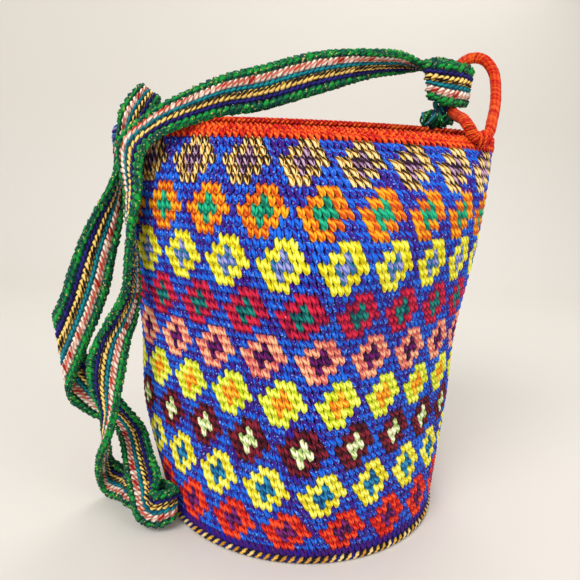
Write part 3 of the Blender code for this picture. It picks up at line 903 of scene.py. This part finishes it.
# The rim: its row of stitches, how much lower it is in front, its section as rows and heights over the wall's
# face, and how far its outer stitches stand up and its inner ones lie behind
RIM_STITCH_ROW = 47.5
RIM_FRONT_DROP = 0.34
RIM_SECTION = (
    (47.1, -0.0006), (47.5, 0.0002), (48.1, 0.0002), (48.6, -0.0008),
    (48.6, -0.0038), (48.1, -0.0044), (47.5, -0.0044), (47.1, -0.0040),
)
RIM_CORE_STEP = 2
RIM_OUTSIDE = 0.0002
RIM_INSIDE = 0.0044
# The rim's braid: its links to a stitch, their pitch, radius and lean, the height where outside turns into
# inside, and its strands over the top: the row, the height, how far it faces up, and which way it leans
RIM_LINKS = 1.05
RIM_LINK = (0.0021, 0.0015, 0.55)
RIM_MIDDLE = -0.002
RIM_BRAID = (
    (48.05, 0.0006, 0.1, 1), (48.45, 0.0004, 0.4, -1), (48.68, -0.0012, 1.0, 1), (48.68, -0.0031, 1.0, -1),
    (48.45, -0.0047, 0.4, 1), (48.05, -0.0049, 0.1, -1),
)


def rim_frame(stitch, row):
    """A place on the rim with its directions; the rim is a little lower in front than at the back."""
    front = (1 - wall_frame(stitch, row)[1].y) / 2
    return wall_frame(stitch, RIM_ROW + (row - RIM_ROW) * (1 - RIM_FRONT_DROP * front))


class BAG_OT_rim(bpy.types.Operator):
    """Crochet the thick red rim: a row of tall stitches outside and in, and a braid over the top"""

    bl_idname = "bag.rim"
    bl_label = "Rim"

    def execute(self, context):
        sizes, colours = settings()
        chance = random.Random(sizes.seed)
        yarn = yarn_material("rim_yarn", [shades(colours, "rim")], Ply_change=0.9, Twist=-300.0,
                             Broad_change=0.4, Hollow=0.6)
        core = bmesh.new()
        crown, _ = yarn_layers(core)
        rings = []
        for row, out in RIM_SECTION:
            frames = [rim_frame(stitch, row) for stitch in range(0, STITCHES_AROUND, RIM_CORE_STEP)]
            # The rim's core gets painted shade through the low crown of its rings
            rings.append(core_ring(core, crown, [point + normal * out for point, normal, _, _ in frames]))
        close_ring(core, [*rings, rings[0]])
        pieces = [piece_from("rim_core", core, yarn)]
        places = []
        for number in range(STITCHES_AROUND):
            point, normal, across, up = rim_frame(number, RIM_STITCH_ROW)
            size = stitch_size(sizes, across, up)
            places.append((point + normal * RIM_OUTSIDE, normal, across, size, 1, chance.random()))
            places.append((point - normal * RIM_INSIDE, -normal, -across, size, 1, chance.random()))
        pieces.append(lay("rim_stitches", places, wall_stitch(sizes), yarn, turn=0.05, seed=sizes.seed))
        places = []
        links = round(STITCHES_AROUND * RIM_LINKS)
        for i in range(links):
            for row, out, rise, lean in RIM_BRAID:
                stitch = (i + 0.5 * (lean < 0)) * STITCHES_AROUND / links
                point, normal, across, _ = rim_frame(stitch, row)
                side = level_out(normal) * (1 - rise)
                facing = (UP * rise + side if out > RIM_MIDDLE else UP * rise - side).normalized()
                places.append((point + normal * out, facing, across, (1, lean, 1), 1, chance.random()))
        pieces.append(lay("rim_chain", places, twist_pod(*RIM_LINK), yarn, turn=0.1, seed=sizes.seed + 1))
        dress(join("rim_crochet", pieces), "rim")
        return {"FINISHED"}


# The strap's route in millimetres as the model has it: pairs of points, on its white edge and its navy edge
STRAP_EDGES = (
    # where it wraps round the right loop
    ((75, -18, 307), (70, -18, 330)),
    ((86, -20, 303), (86, -20, 330)),
    ((96, -16, 303), (101, -16, 330)),
    ((106, -7, 305), (108, -7, 329)),
    ((100, 3, 309), (104, 3, 335)),
    ((86, 0, 317), (87, 9, 339)),
    ((73, -8, 329), (81, 20, 336)),
    ((54, -18, 334), (60, 4, 327)),
    ((34, -24, 333), (37, -8, 320)),
    # over the mouth to the left corner
    ((16, -28, 331), (16, -23, 311)),
    ((-9, -33, 326), (-8, -33, 301)),
    ((-41, -39, 315), (-40, -39, 289)),
    ((-65, -47, 306), (-67, -50, 282)),
    ((-90, -55, 292), (-90, -62, 272)),
    ((-109, -57, 280), (-103, -65, 265)),
    ((-127, -55, 265), (-110, -70, 257)),
    # the inner run down beside the bag
    ((-130, -49, 251), (-113, -70, 246)),
    ((-126, -52, 233), (-113, -75, 230)),
    ((-124, -52, 210), (-117, -77, 212)),
    ((-119, -56, 189), (-120, -77, 192)),
    ((-120, -48, 166), (-125, -68, 170)),
    ((-122, -46, 148), (-139, -59, 147)),
    ((-125, -54, 134), (-147, -57, 133)),
    ((-128, -56, 116), (-152, -56, 119)),
    ((-131, -57, 100), (-152, -55, 100)),
    ((-134, -60, 83), (-147, -48, 80)),
    ((-140, -60, 64), (-148, -38, 60)),
    # the small fold on the floor
    ((-148, -54, 47), (-146, -34, 47)),
    ((-155, -33, 18), (-149, -26, 40)),
    ((-152, -26, 3), (-146, -22, 29)),
    ((-137, -36, 3), (-133, -33, 28)),
    ((-131, -43, 3), (-130, -41, 29)),
    # the large fold on the floor
    ((-109, -52, 3), (-108, -50, 29)),
    ((-96, -62, 8), (-96, -60, 30)),
    ((-96, -70, 8), (-95, -67, 31)),
    ((-106, -72, 5), (-107, -70, 30)),
    ((-118, -70, 9), (-106, -66, 33)),
    # up from the large fold
    ((-125, -60, 18), (-106, -56, 36)),
    ((-132, -46, 34), (-113, -42, 44)),
    ((-139, -30, 50), (-122, -28, 59)),
    # the diagonal crease, laid back on itself
    ((-146, -24, 60), (-134, -24, 73)),
    ((-157, -26, 66), (-145, -26, 89)),
    ((-167, -32, 76), (-161, -34, 119)),
    ((-171, -39, 88), (-176, -42, 145)),
    # the outer run up
    ((-161, -46, 114), (-172, -48, 156)),
    ((-148, -48, 145), (-168, -49, 166)),
    ((-140, -48, 167), (-163, -49, 182)),
    ((-136, -46, 188), (-157, -49, 197)),
    ((-132, -40, 212), (-148, -50, 215)),
    ((-134, -32, 228), (-139, -49, 230)),
    # over the left loop
    ((-134, -32, 244), (-133, -46, 243)),
    ((-135, -34, 258), (-131, -42, 255)),
    ((-132, -41, 271), (-121, -43, 265)),
    ((-130, -42, 283), (-114, -43, 276)),
    ((-121, -31, 299), (-109, -31, 291)),
    ((-124, -20, 296), (-111, -20, 288)),
    ((-125, -16, 296), (-112, -16, 288)),
)

# The loops' routes in millimetres as the model has them, each from its knot round and back
RIGHT_LOOP = (
    (105.3, -49, 277.7), (110.4, -47, 282.3), (114.4, -40, 290.7), (119.4, -30, 301.5),
    (122, -22, 313.4), (121.7, -16, 325.7), (116.8, -12, 334.2), (110, -10, 336.8),
    (102.8, -8, 335.1), (96.6, -8, 327.7), (94.1, -8, 317.4), (94, -8, 307.9),
    (95.7, -11, 300), (96, -22, 295.2), (93.7, -42, 290.2), (94.7, -51, 284.4),
    (99.5, -51, 279),
)
LEFT_LOOP = (
    (-124.5, -4, 288.5), (-131.5, -10.5, 286), (-133.5, -20, 280), (-129, -28, 284.2),
    (-117, -28.8, 283.8), (-104, -27.5, 283.8), (-97, -19, 286.5), (-99, -8, 288),
    (-110, -1, 289),
)
LOOP_KNOT_RADIUS = 0.0048
# A loop's knot: each of its turns by its place in millimetres and its side
KNOT_TURNS = ((-2.6, 1), (-1.3, -1), (0.0, 1), (1.3, -1), (2.6, 1))
TUBE_SIDES = 12
# The lashings: each one's middle and half sizes, and the thickness of their yarn
RIGHT_LASHING = ((0.0846, -0.0070, 0.2945), (0.0098, 0.0080, 0.0075))
# The right one's knots: each one's place from the first, its size beside it, and its teal turns in every three
RIGHT_KNOTS = (
    ((0, 0, 0), 1.0, 1), ((0.0040, -0.0020, 0.0080), 0.62, 2), ((0.0070, -0.0060, -0.0015), 0.55, 0),
)
LEFT_LASHING = ((-0.1372, -0.0200, 0.2677), (0.0050, 0.0060, 0.0090))
TIE_YARN = 0.0010
# Where the strap's stripes begin and end across its width: green, cream, teal, gold, navy, green
STRIPE_EDGES = (0.0, 0.17, 0.37, 0.495, 0.685, 0.805, 1.0)
STRIPES = len(STRIPE_EDGES) - 1
STRIPE_WIDTH = 0.0047
# The steps between two points of a route
ROUTE_STEPS = 8
# The strap's red-flecked stripe and its share of red, and its stitches' radius, most widening and depth
LIGHT_STRIPE = 1
RED_SHARE = 0.22
GRAIN_RADIUS = 0.0015
GRAIN_WIDENING = 1.6
GRAIN_SINK = 0.0003
# The strap's edge stitches: their length beside the others', their radius, their size and how deep they sit
EDGE_PITCH = 1.2
EDGE_RADIUS = 0.00175
EDGE_SIZE = (1.0, 0.75, 1.0)
EDGE_SINK = 0.0006
# The strap's half thickness beside its whole: along its stripes' middles, between them and at its edges
CORE_HALVES = (0.5, 0.36, 0.22)


def smooth_path(route, closed=False):
    """Points on a smooth curve through a route in millimetres, evenly many between each pair."""
    points = [Vector([value / 1000 for value in point]) for point in route]
    count = len(points)
    out = []
    for i in range(count if closed else count - 1):
        if closed:
            a, b, c, d = (points[(i + k) % count] for k in (-1, 0, 1, 2))
        else:
            a, b, c, d = (points[min(max(i + k, 0), count - 1)] for k in (-1, 0, 1, 2))
        for k in range(ROUTE_STEPS):
            t = k / ROUTE_STEPS
            out.append(0.5 * ((2 * b) + (c - a) * t + (2 * a - 5 * b + 4 * c - d) * t * t
                              + (3 * b - a - 3 * c + d) * t ** 3))
    if not closed:
        out.append(points[-1].copy())
    return out


def strap_frames():
    """The strap's edges and its facing direction, closely spaced down its length."""
    white, navy = (smooth_path(edge) for edge in zip(*STRAP_EDGES))
    frames = []
    for i in range(len(white)):
        low, high = max(i - 1, 0), min(i + 1, len(white) - 1)
        along = (white[high] + navy[high]) - (white[low] + navy[low])
        frames.append((white[i], navy[i], along.cross(navy[i] - white[i]).normalized()))
    return frames


def walk(points, pitch):
    """Even steps along a list of points: the number before and the part of the way to the next."""
    steps, left = [], pitch / 2
    for i, (start, end) in enumerate(zip(points, points[1:])):
        reach = (end - start).length
        while left < reach:
            steps.append((i, left / reach))
            left += pitch
        left -= reach
    return steps


def across_strap(line):
    """The place across the strap of a line: even ones part two stripes, odd ones run along their middles."""
    return (STRIPE_EDGES[line // 2] + STRIPE_EDGES[(line + 1) // 2]) / 2


def strap_yarns(colours):
    """The strap's six yarns in order, from the edge by the light stripe to the edge by the navy one."""
    green = shades(colours, "green")
    cream = (colours.cream, (1.0, 0.97, 0.91), (0.78, 0.34, 0.26))
    salmon = (colours.salmon, (1.0, 0.84, 0.74), (0.58, 0.06, 0.05))
    teal = (colours.teal, (0.05, 0.58, 0.60), (0.0, 0.34, 0.44))
    gold = (colours.gold, (1.0, 0.86, 0.50), colours.ink)
    navy = (colours.navy, (0.15, 0.14, 0.50), (0.06, 0.06, 0.25))
    edge = dict(Fleck=(0.84, 0.76, 0.42), Fleck_share=0.22, Strand_change=1.3, Broad_change=0.6,
                Ply_change=1.0, Twist=220.0, Hollow=0.3)
    cord = dict(Broad_change=0.5, Ply_change=0.7, Twist=220.0)
    return (
        yarn_material("strap_green_a", [green], **edge),
        yarn_material("strap_cream", [cream, salmon], Broad_change=0.1, Strand_change=0.4, Ply_change=0.8,
                      Twist=120.0),
        yarn_material("strap_teal", [teal], Strand_change=0.6, **cord),
        yarn_material("strap_gold", [gold], Broad_change=0.1, Strand_change=0.9, Ply_change=1.5, Twist=160.0,
                      Hollow=0.2),
        yarn_material("strap_navy", [navy], Strand_change=0.8, **cord),
        yarn_material("strap_green_b", [green], **edge),
    )


def stripe_places(frames, stripe, pitch, thickness, chance):
    """Places of a stripe's stitches, in pairs on the strap's two faces."""
    share = across_strap(2 * stripe + 1)
    wide = STRIPE_EDGES[stripe + 1] - STRIPE_EDGES[stripe]
    line = [white.lerp(navy, share) for white, navy, _ in frames]
    places = []
    for i, part in walk(line, pitch):
        along = (line[i + 1] - line[i]).normalized()
        white, navy, face = (low.lerp(high, part) for low, high in zip(frames[i], frames[i + 1]))
        face = face.normalized()
        width = (navy - white).cross(along).length * wide
        point = line[i].lerp(line[i + 1], part)
        kind = 2 if stripe == LIGHT_STRIPE and chance.random() < RED_SHARE else 1
        tint = chance.random()
        size = (1.0, min(width / STRIPE_WIDTH, GRAIN_WIDENING), 1.0)
        for out in (face, -face):
            places.append((point + out * (thickness / 2 - GRAIN_SINK), out, along, size, kind, tint))
    return places


def edge_places(frames, edge, pitch, chance):
    """Places of the stitches along one of the strap's two edges."""
    line = [pair[edge] for pair in frames]
    places = []
    for i, part in walk(line, pitch):
        along = (line[i + 1] - line[i]).normalized()
        other = frames[i][1 - edge].lerp(frames[i + 1][1 - edge], part)
        point = line[i].lerp(line[i + 1], part)
        out = point - other
        out = (out - along * out.dot(along)).normalized()
        places.append((point - out * EDGE_SINK, out, along, EDGE_SIZE, 1, chance.random()))
    return places


class BAG_OT_strap(bpy.types.Operator):
    """Make the long band strap: a striped core and the leaning stitches of its six stripes on both faces"""

    bl_idname = "bag.strap"
    bl_label = "Strap"

    def execute(self, context):
        sizes, colours = settings()
        yarns = strap_yarns(colours)
        frames = strap_frames()
        core = strap_core(frames, sizes.strap_thickness, yarns)
        chance = random.Random(sizes.seed)
        edge_pitch = sizes.strap_stitch * EDGE_PITCH
        pod, edge_pod = grain(sizes.strap_stitch, GRAIN_RADIUS), grain(edge_pitch, EDGE_RADIUS)
        pieces = []
        for stripe, yarn in enumerate(yarns):
            at_edge = stripe in (0, STRIPES - 1)
            pitch, shape = (edge_pitch, edge_pod) if at_edge else (sizes.strap_stitch, pod)
            places = stripe_places(frames, stripe, pitch, sizes.strap_thickness, chance)
            pieces.append(lay(f"stripe_{stripe + 1}", places, shape, yarn, turn=0.14, size=0.1,
                              seed=sizes.seed + stripe))
        for edge, yarn in ((0, yarns[0]), (1, yarns[-1])):
            places = edge_places(frames, edge, edge_pitch, chance)
            pieces.append(lay(f"edge_{edge + 1}", places, edge_pod, yarn, turn=0.18, size=0.14,
                              seed=sizes.seed + 11))
        stitches = join("strap_stitches", pieces)
        dress(core, "strap")
        dress(stitches, "strap", instead=False)
        return {"FINISHED"}


def strap_core(frames, thickness, yarns):
    """The strap's woven core: rounded stripes on both faces, each in its own yarn and darkened with painted
    shade, most between the stripes.
    """
    work = bmesh.new()
    crown, strand_map = yarn_layers(work)
    middle, between_stripes, at_edge = CORE_HALVES
    per_face = 2 * STRIPES + 1
    around = 2 * per_face
    rings = []
    for white, navy, face in frames:
        ring = []
        for side in (1, -1):
            for k in range(per_face)[::side]:
                half = at_edge if k in (0, per_face - 1) else middle if k % 2 else between_stripes
                vert = work.verts.new(white.lerp(navy, across_strap(k)) + face * (thickness * half) * side)
                # Painted shade: a low crown on the stripes' middles and none between them, so the core reads dark
                # under the stitches
                vert[crown] = 0.25 if k % 2 else 0.0
                ring.append(vert)
        rings.append(ring)
    for number, face in enumerate(close_ring(work, rings)):
        i = number % around
        line = i if i < per_face else around - 1 - (i + 1) % around
        face.material_index = min(line // 2, STRIPES - 1)
    for ring in (rings[0], rings[-1]):
        for i in range(per_face - 1):
            work.faces.new((ring[i], ring[i + 1], ring[around - 2 - i], ring[around - 1 - i]))
    for face in work.faces:
        for loop in face.loops:
            loop[strand_map].uv = (loop.vert.co.x, loop.vert.co.z)
    return piece_from("strap_band", work, *yarns)


def turn_ring(name, radius, thick, tilt, around=12, sides=4):
    """One turn of wrapping round the Z axis, tilted a little, with painted shade on its inner side."""
    work = bmesh.new()
    crown, _ = yarn_layers(work)
    rings = []
    for i in range(around):
        angle = math.tau * i / around
        out = Vector((math.cos(angle), math.sin(angle), 0))
        centre = out * radius + UP * (math.cos(angle) * radius * tilt)
        ring = []
        for k in range(sides):
            turn = math.tau * (k + 0.5) / sides
            vert = work.verts.new(centre + out * math.cos(turn) * thick + UP * (math.sin(turn) * thick))
            # Painted shade: a high crown on the outer side and a low one on the inner side, which the yarn
            # pattern darkens
            vert[crown] = 0.9 if math.cos(turn) > 0 else 0.2
            ring.append(vert)
        rings.append(ring)
    skin(work, [*rings, rings[0]], [i * math.tau * radius / around for i in range(around + 1)])
    return shape_from(name, work)


def loop_facing(path):
    """The direction that a loop's opening faces."""
    centre = sum(path, Vector()) / len(path)
    return (path[0] - centre).cross(path[len(path) // 4] - centre).normalized()


def tube(name, path, radius, material):
    """A closed ring of tube along a path, darkened with painted shade by its low crown, to back the turns of
    wrapping.
    """
    work = bmesh.new()
    crown, _ = yarn_layers(work)
    level = loop_facing(path)
    turns = [math.tau * k / TUBE_SIDES for k in range(TUBE_SIDES)]
    rings = []
    for i, point in enumerate(path):
        along = (path[(i + 1) % len(path)] - path[i - 1]).normalized()
        side = level.cross(along).normalized()
        other = along.cross(side)
        rims = [(side * math.cos(turn) + other * math.sin(turn)) * radius for turn in turns]
        rings.append(core_ring(work, crown, [point + rim for rim in rims]))
    close_ring(work, [*rings, rings[0]])
    return piece_from(name, work, material)


class BAG_OT_loops(bpy.types.Operator):
    """Make the two loops of cord wrapped in red yarn, each with its knot"""

    bl_idname = "bag.loops"
    bl_label = "Wrapped loops"

    def execute(self, context):
        sizes, colours = settings()
        yarn = yarn_material("loop_yarn", [shades(colours, "rim")], Strand_change=0.9, Broad_change=0.4,
                             Ply_change=0.6)
        chance = random.Random(sizes.seed)
        thick = sizes.loop_turn * 0.62
        ring = turn_ring("wrap_turn", sizes.loop_radius - thick, thick, 0.45)
        knot_ring = turn_ring("knot_turn", LOOP_KNOT_RADIUS, 0.0011, 0.5, around=14, sides=5)
        for name, route in (("loop_right", RIGHT_LOOP), ("loop_left", LEFT_LOOP)):
            path = smooth_path(route, closed=True)
            core = tube(name + "_core", path, sizes.loop_radius - thick * 1.4, yarn)
            line = [*path, path[0]]
            level = loop_facing(path)
            turns, knot = [], []
            for i, part in walk(line, sizes.loop_turn):
                along = (line[i + 1] - line[i]).normalized()
                side = level.cross(along).normalized()
                turns.append((line[i].lerp(line[i + 1], part), along, side, (1, 1, 1), 1, chance.random()))
            along = (path[1] - path[-1]).normalized()
            side = level.cross(along).normalized()
            for step, flip in KNOT_TURNS:
                size = 1.0 - 0.05 * abs(step)
                point = path[0] + along * step * 0.001
                knot.append((point, along, side * flip, (size, size, 1), 1, chance.random()))
            dress(join(name + "_wrapped", [
                core,
                lay(name + "_turns", turns, ring, yarn, turn=0.05, size=0.02, seed=sizes.seed),
                lay(name + "_knot", knot, knot_ring, yarn, turn=0.16, size=0.04, seed=sizes.seed),
            ]), name)
        return {"FINISHED"}


class BAG_OT_ties(bpy.types.Operator):
    """Make the two bundles of yarn that tie the strap's ends"""

    bl_idname = "bag.ties"
    bl_label = "Yarn ties"

    def execute(self, context):
        sizes, colours = settings()
        green = shades(colours, "green")
        teal = (colours.teal, (0.20, 0.62, 0.66), colours.navy)
        lilac = ((0.42, 0.40, 0.78), (0.70, 0.66, 0.90), (0.10, 0.24, 0.60))
        blue = ((0.10, 0.34, 0.66), (0.30, 0.52, 0.80), colours.navy)
        for name, (centre, radii), axis, yarns, tangle, knots in (
            ("strap_lashing_right", RIGHT_LASHING, 0, (green, teal), 0.75, RIGHT_KNOTS),
            ("strap_lashing_left", LEFT_LASHING, 2, (blue, lilac), 0.3, RIGHT_KNOTS[:1]),
        ):
            material = yarn_material(name + "_yarn", yarns, Fleck=(0.95, 0.90, 0.75), Fleck_share=0.2)
            chance = random.Random(sizes.seed + axis)
            first, second = (k for k in range(3) if k != axis)
            thick = TIE_YARN / min(radii[first], radii[second])
            ring = turn_ring("tie_turn", 1.0, thick, 0.25, around=16, sides=5)
            along, across = (Vector([float(k == which) for k in range(3)]) for which in (axis, first))
            places = []
            for aside, scale, light in knots:
                middle = Vector(centre) + Vector(aside)
                count = round(2 * radii[axis] * scale / (TIE_YARN * 1.5))
                for i in range(count):
                    at = -1 + 2 * (i + 0.5) / count
                    wide = math.sqrt(1 - at * at * 0.8) * scale
                    size = ((radii[first] - TIE_YARN) * wide, (radii[second] - TIE_YARN) * wide, radii[first])
                    point = middle + along * at * (radii[axis] * scale - TIE_YARN)
                    places.append((point, along, across, size, 1 + (i % 3 < light), chance.random()))
            core = bmesh.new()
            # Painted shade: the core's crown stays at nought, so the yarn pattern darkens all of it like the
            # hollows between strands
            yarn_layers(core)
            bmesh.ops.create_uvsphere(core, u_segments=16, v_segments=10, radius=1.0)
            for vert in core.verts:
                reach = Vector([vert.co[k] * (radii[k] - 1.4 * TIE_YARN) for k in range(3)])
                vert.co = Vector(centre) + reach
            dress(join(name + "_bundle", [
                piece_from(name + "_core", core, material),
                lay(name + "_turns", places, ring, material, turn=tangle, size=tangle * 0.2, seed=sizes.seed),
            ]), name)
        return {"FINISHED"}


class BAG_OT_stage(bpy.types.Operator):
    """Set up the camera at the photograph's angle, the soft light, the pale floor and the backdrop"""

    bl_idname = "bag.stage"
    bl_label = "Camera, light and floor"

    def execute(self, context):
        self.place_camera(context.scene)
        self.light(context.scene)
        self.lay_floor()
        return {"FINISHED"}

    @staticmethod
    def place_camera(scene):
        """Look from where the photograph was taken."""
        camera = bpy.data.objects.new("camera", bpy.data.cameras.new("camera"))
        bpy.context.collection.objects.link(camera)
        level = math.cos(CAMERA_PITCH)
        aim = math.sin(CAMERA_TURN) * level, math.cos(CAMERA_TURN) * level, -math.sin(CAMERA_PITCH)
        forward = Vector(aim)
        right = Vector((math.cos(CAMERA_TURN), -math.sin(CAMERA_TURN), 0))
        up = right.cross(forward)
        tilted_right = right * math.cos(CAMERA_ROLL) + up * math.sin(CAMERA_ROLL)
        tilted_up = up * math.cos(CAMERA_ROLL) - right * math.sin(CAMERA_ROLL)
        turn = Matrix((tilted_right, tilted_up, -forward)).transposed().to_4x4()
        camera.matrix_world = Matrix.Translation(CAMERA_PLACE) @ turn
        camera.data.sensor_width = SENSOR
        camera.data.lens = FOCAL_PIXELS / PICTURE * SENSOR
        camera.data.shift_x = -(CENTRE_X - PICTURE / 2) / PICTURE
        camera.data.shift_y = (CENTRE_Y - PICTURE / 2) / PICTURE
        camera.data.clip_start = 0.01
        scene.camera = camera
        scene.view_settings.view_transform = "Standard"

    @staticmethod
    def light(scene):
        """Light the bag softly from the room and three lamps."""
        world = bpy.data.worlds.new("soft light")
        world.use_nodes = True
        room = world.node_tree.nodes["Background"]
        room.inputs[0].default_value = ROOM_COLOUR
        room.inputs[1].default_value = ROOM_LIGHT
        scene.world = world
        for name, place, size, power in LAMPS:
            lamp = bpy.data.lights.new(name, "AREA")
            lamp.size = size
            lamp.energy = power
            holder = bpy.data.objects.new(name, lamp)
            holder.location = place
            holder.rotation_euler = (LAMP_AIM - Vector(place)).to_track_quat("-Z", "Y").to_euler()
            bpy.context.collection.objects.link(holder)

    @staticmethod
    def lay_floor():
        """Lay a plain floor that curves up into the backdrop."""
        work = bmesh.new()
        angles = [math.pi / 2 * k / CURVE_STEPS for k in range(CURVE_STEPS + 1)]
        curve = [(CURVE_START + CURVE_RADIUS * math.sin(a), CURVE_RADIUS * (1 - math.cos(a))) for a in angles]
        profile = [(FLOOR_FRONT, 0.0), *curve, (CURVE_START + CURVE_RADIUS, BACKDROP_TOP)]
        ends = (-FLOOR_HALF_WIDTH, FLOOR_HALF_WIDTH)
        rows = [[work.verts.new((x, y, z)) for x in ends] for y, z in profile]
        for low, high in zip(rows, rows[1:]):
            work.faces.new((low[0], low[1], high[1], high[0])).smooth = True
        mesh = bpy.data.meshes.new("floor")
        work.to_mesh(mesh)
        work.free()
        plain, _, _ = new_material("floor", Base_Color=linear(FLOOR_COLOUR), Roughness=FLOOR_ROUGHNESS)
        mesh.materials.append(plain)
        ground = bpy.data.objects.new("floor", mesh)
        bpy.context.collection.objects.link(ground)


OPERATORS = (
    BAG_OT_stage, BAG_OT_lining, BAG_OT_ground, BAG_OT_flowers, BAG_OT_base, BAG_OT_rim,
    BAG_OT_strap, BAG_OT_loops, BAG_OT_ties,
)


class BAG_PT_panel(bpy.types.Panel):
    """The bag's settings and the steps that build it, in order"""

    bl_idname = "BAG_PT_panel"
    bl_label = "Crocheted bucket bag"
    bl_space_type = "VIEW_3D"
    bl_region_type = "UI"
    bl_category = "Crochet"

    def draw(self, context):
        for group in (context.scene.bag_sizes, context.scene.bag_colours):
            box = self.layout.box()
            for label in group.__annotations__:
                box.prop(group, label)
        for operator in OPERATORS:
            self.layout.operator(operator.bl_idname)


CLASSES = (BagSizes, BagColours, *OPERATORS, BAG_PT_panel)


def register():
    """Register the classes and hang the settings on the scene."""
    for each in CLASSES:
        bpy.utils.register_class(each)
    bpy.types.Scene.bag_sizes = PointerProperty(type=BagSizes)
    bpy.types.Scene.bag_colours = PointerProperty(type=BagColours)


def unregister():
    """Take the settings and the classes away again."""
    del bpy.types.Scene.bag_colours
    del bpy.types.Scene.bag_sizes
    for each in reversed(CLASSES):
        bpy.utils.unregister_class(each)


def main():
    """Build every piece in order."""
    register()
    for operator in OPERATORS:
        family, name = operator.bl_idname.split(".")
        getattr(getattr(bpy.ops, family), name)()


if __name__ == "__main__":
    main()
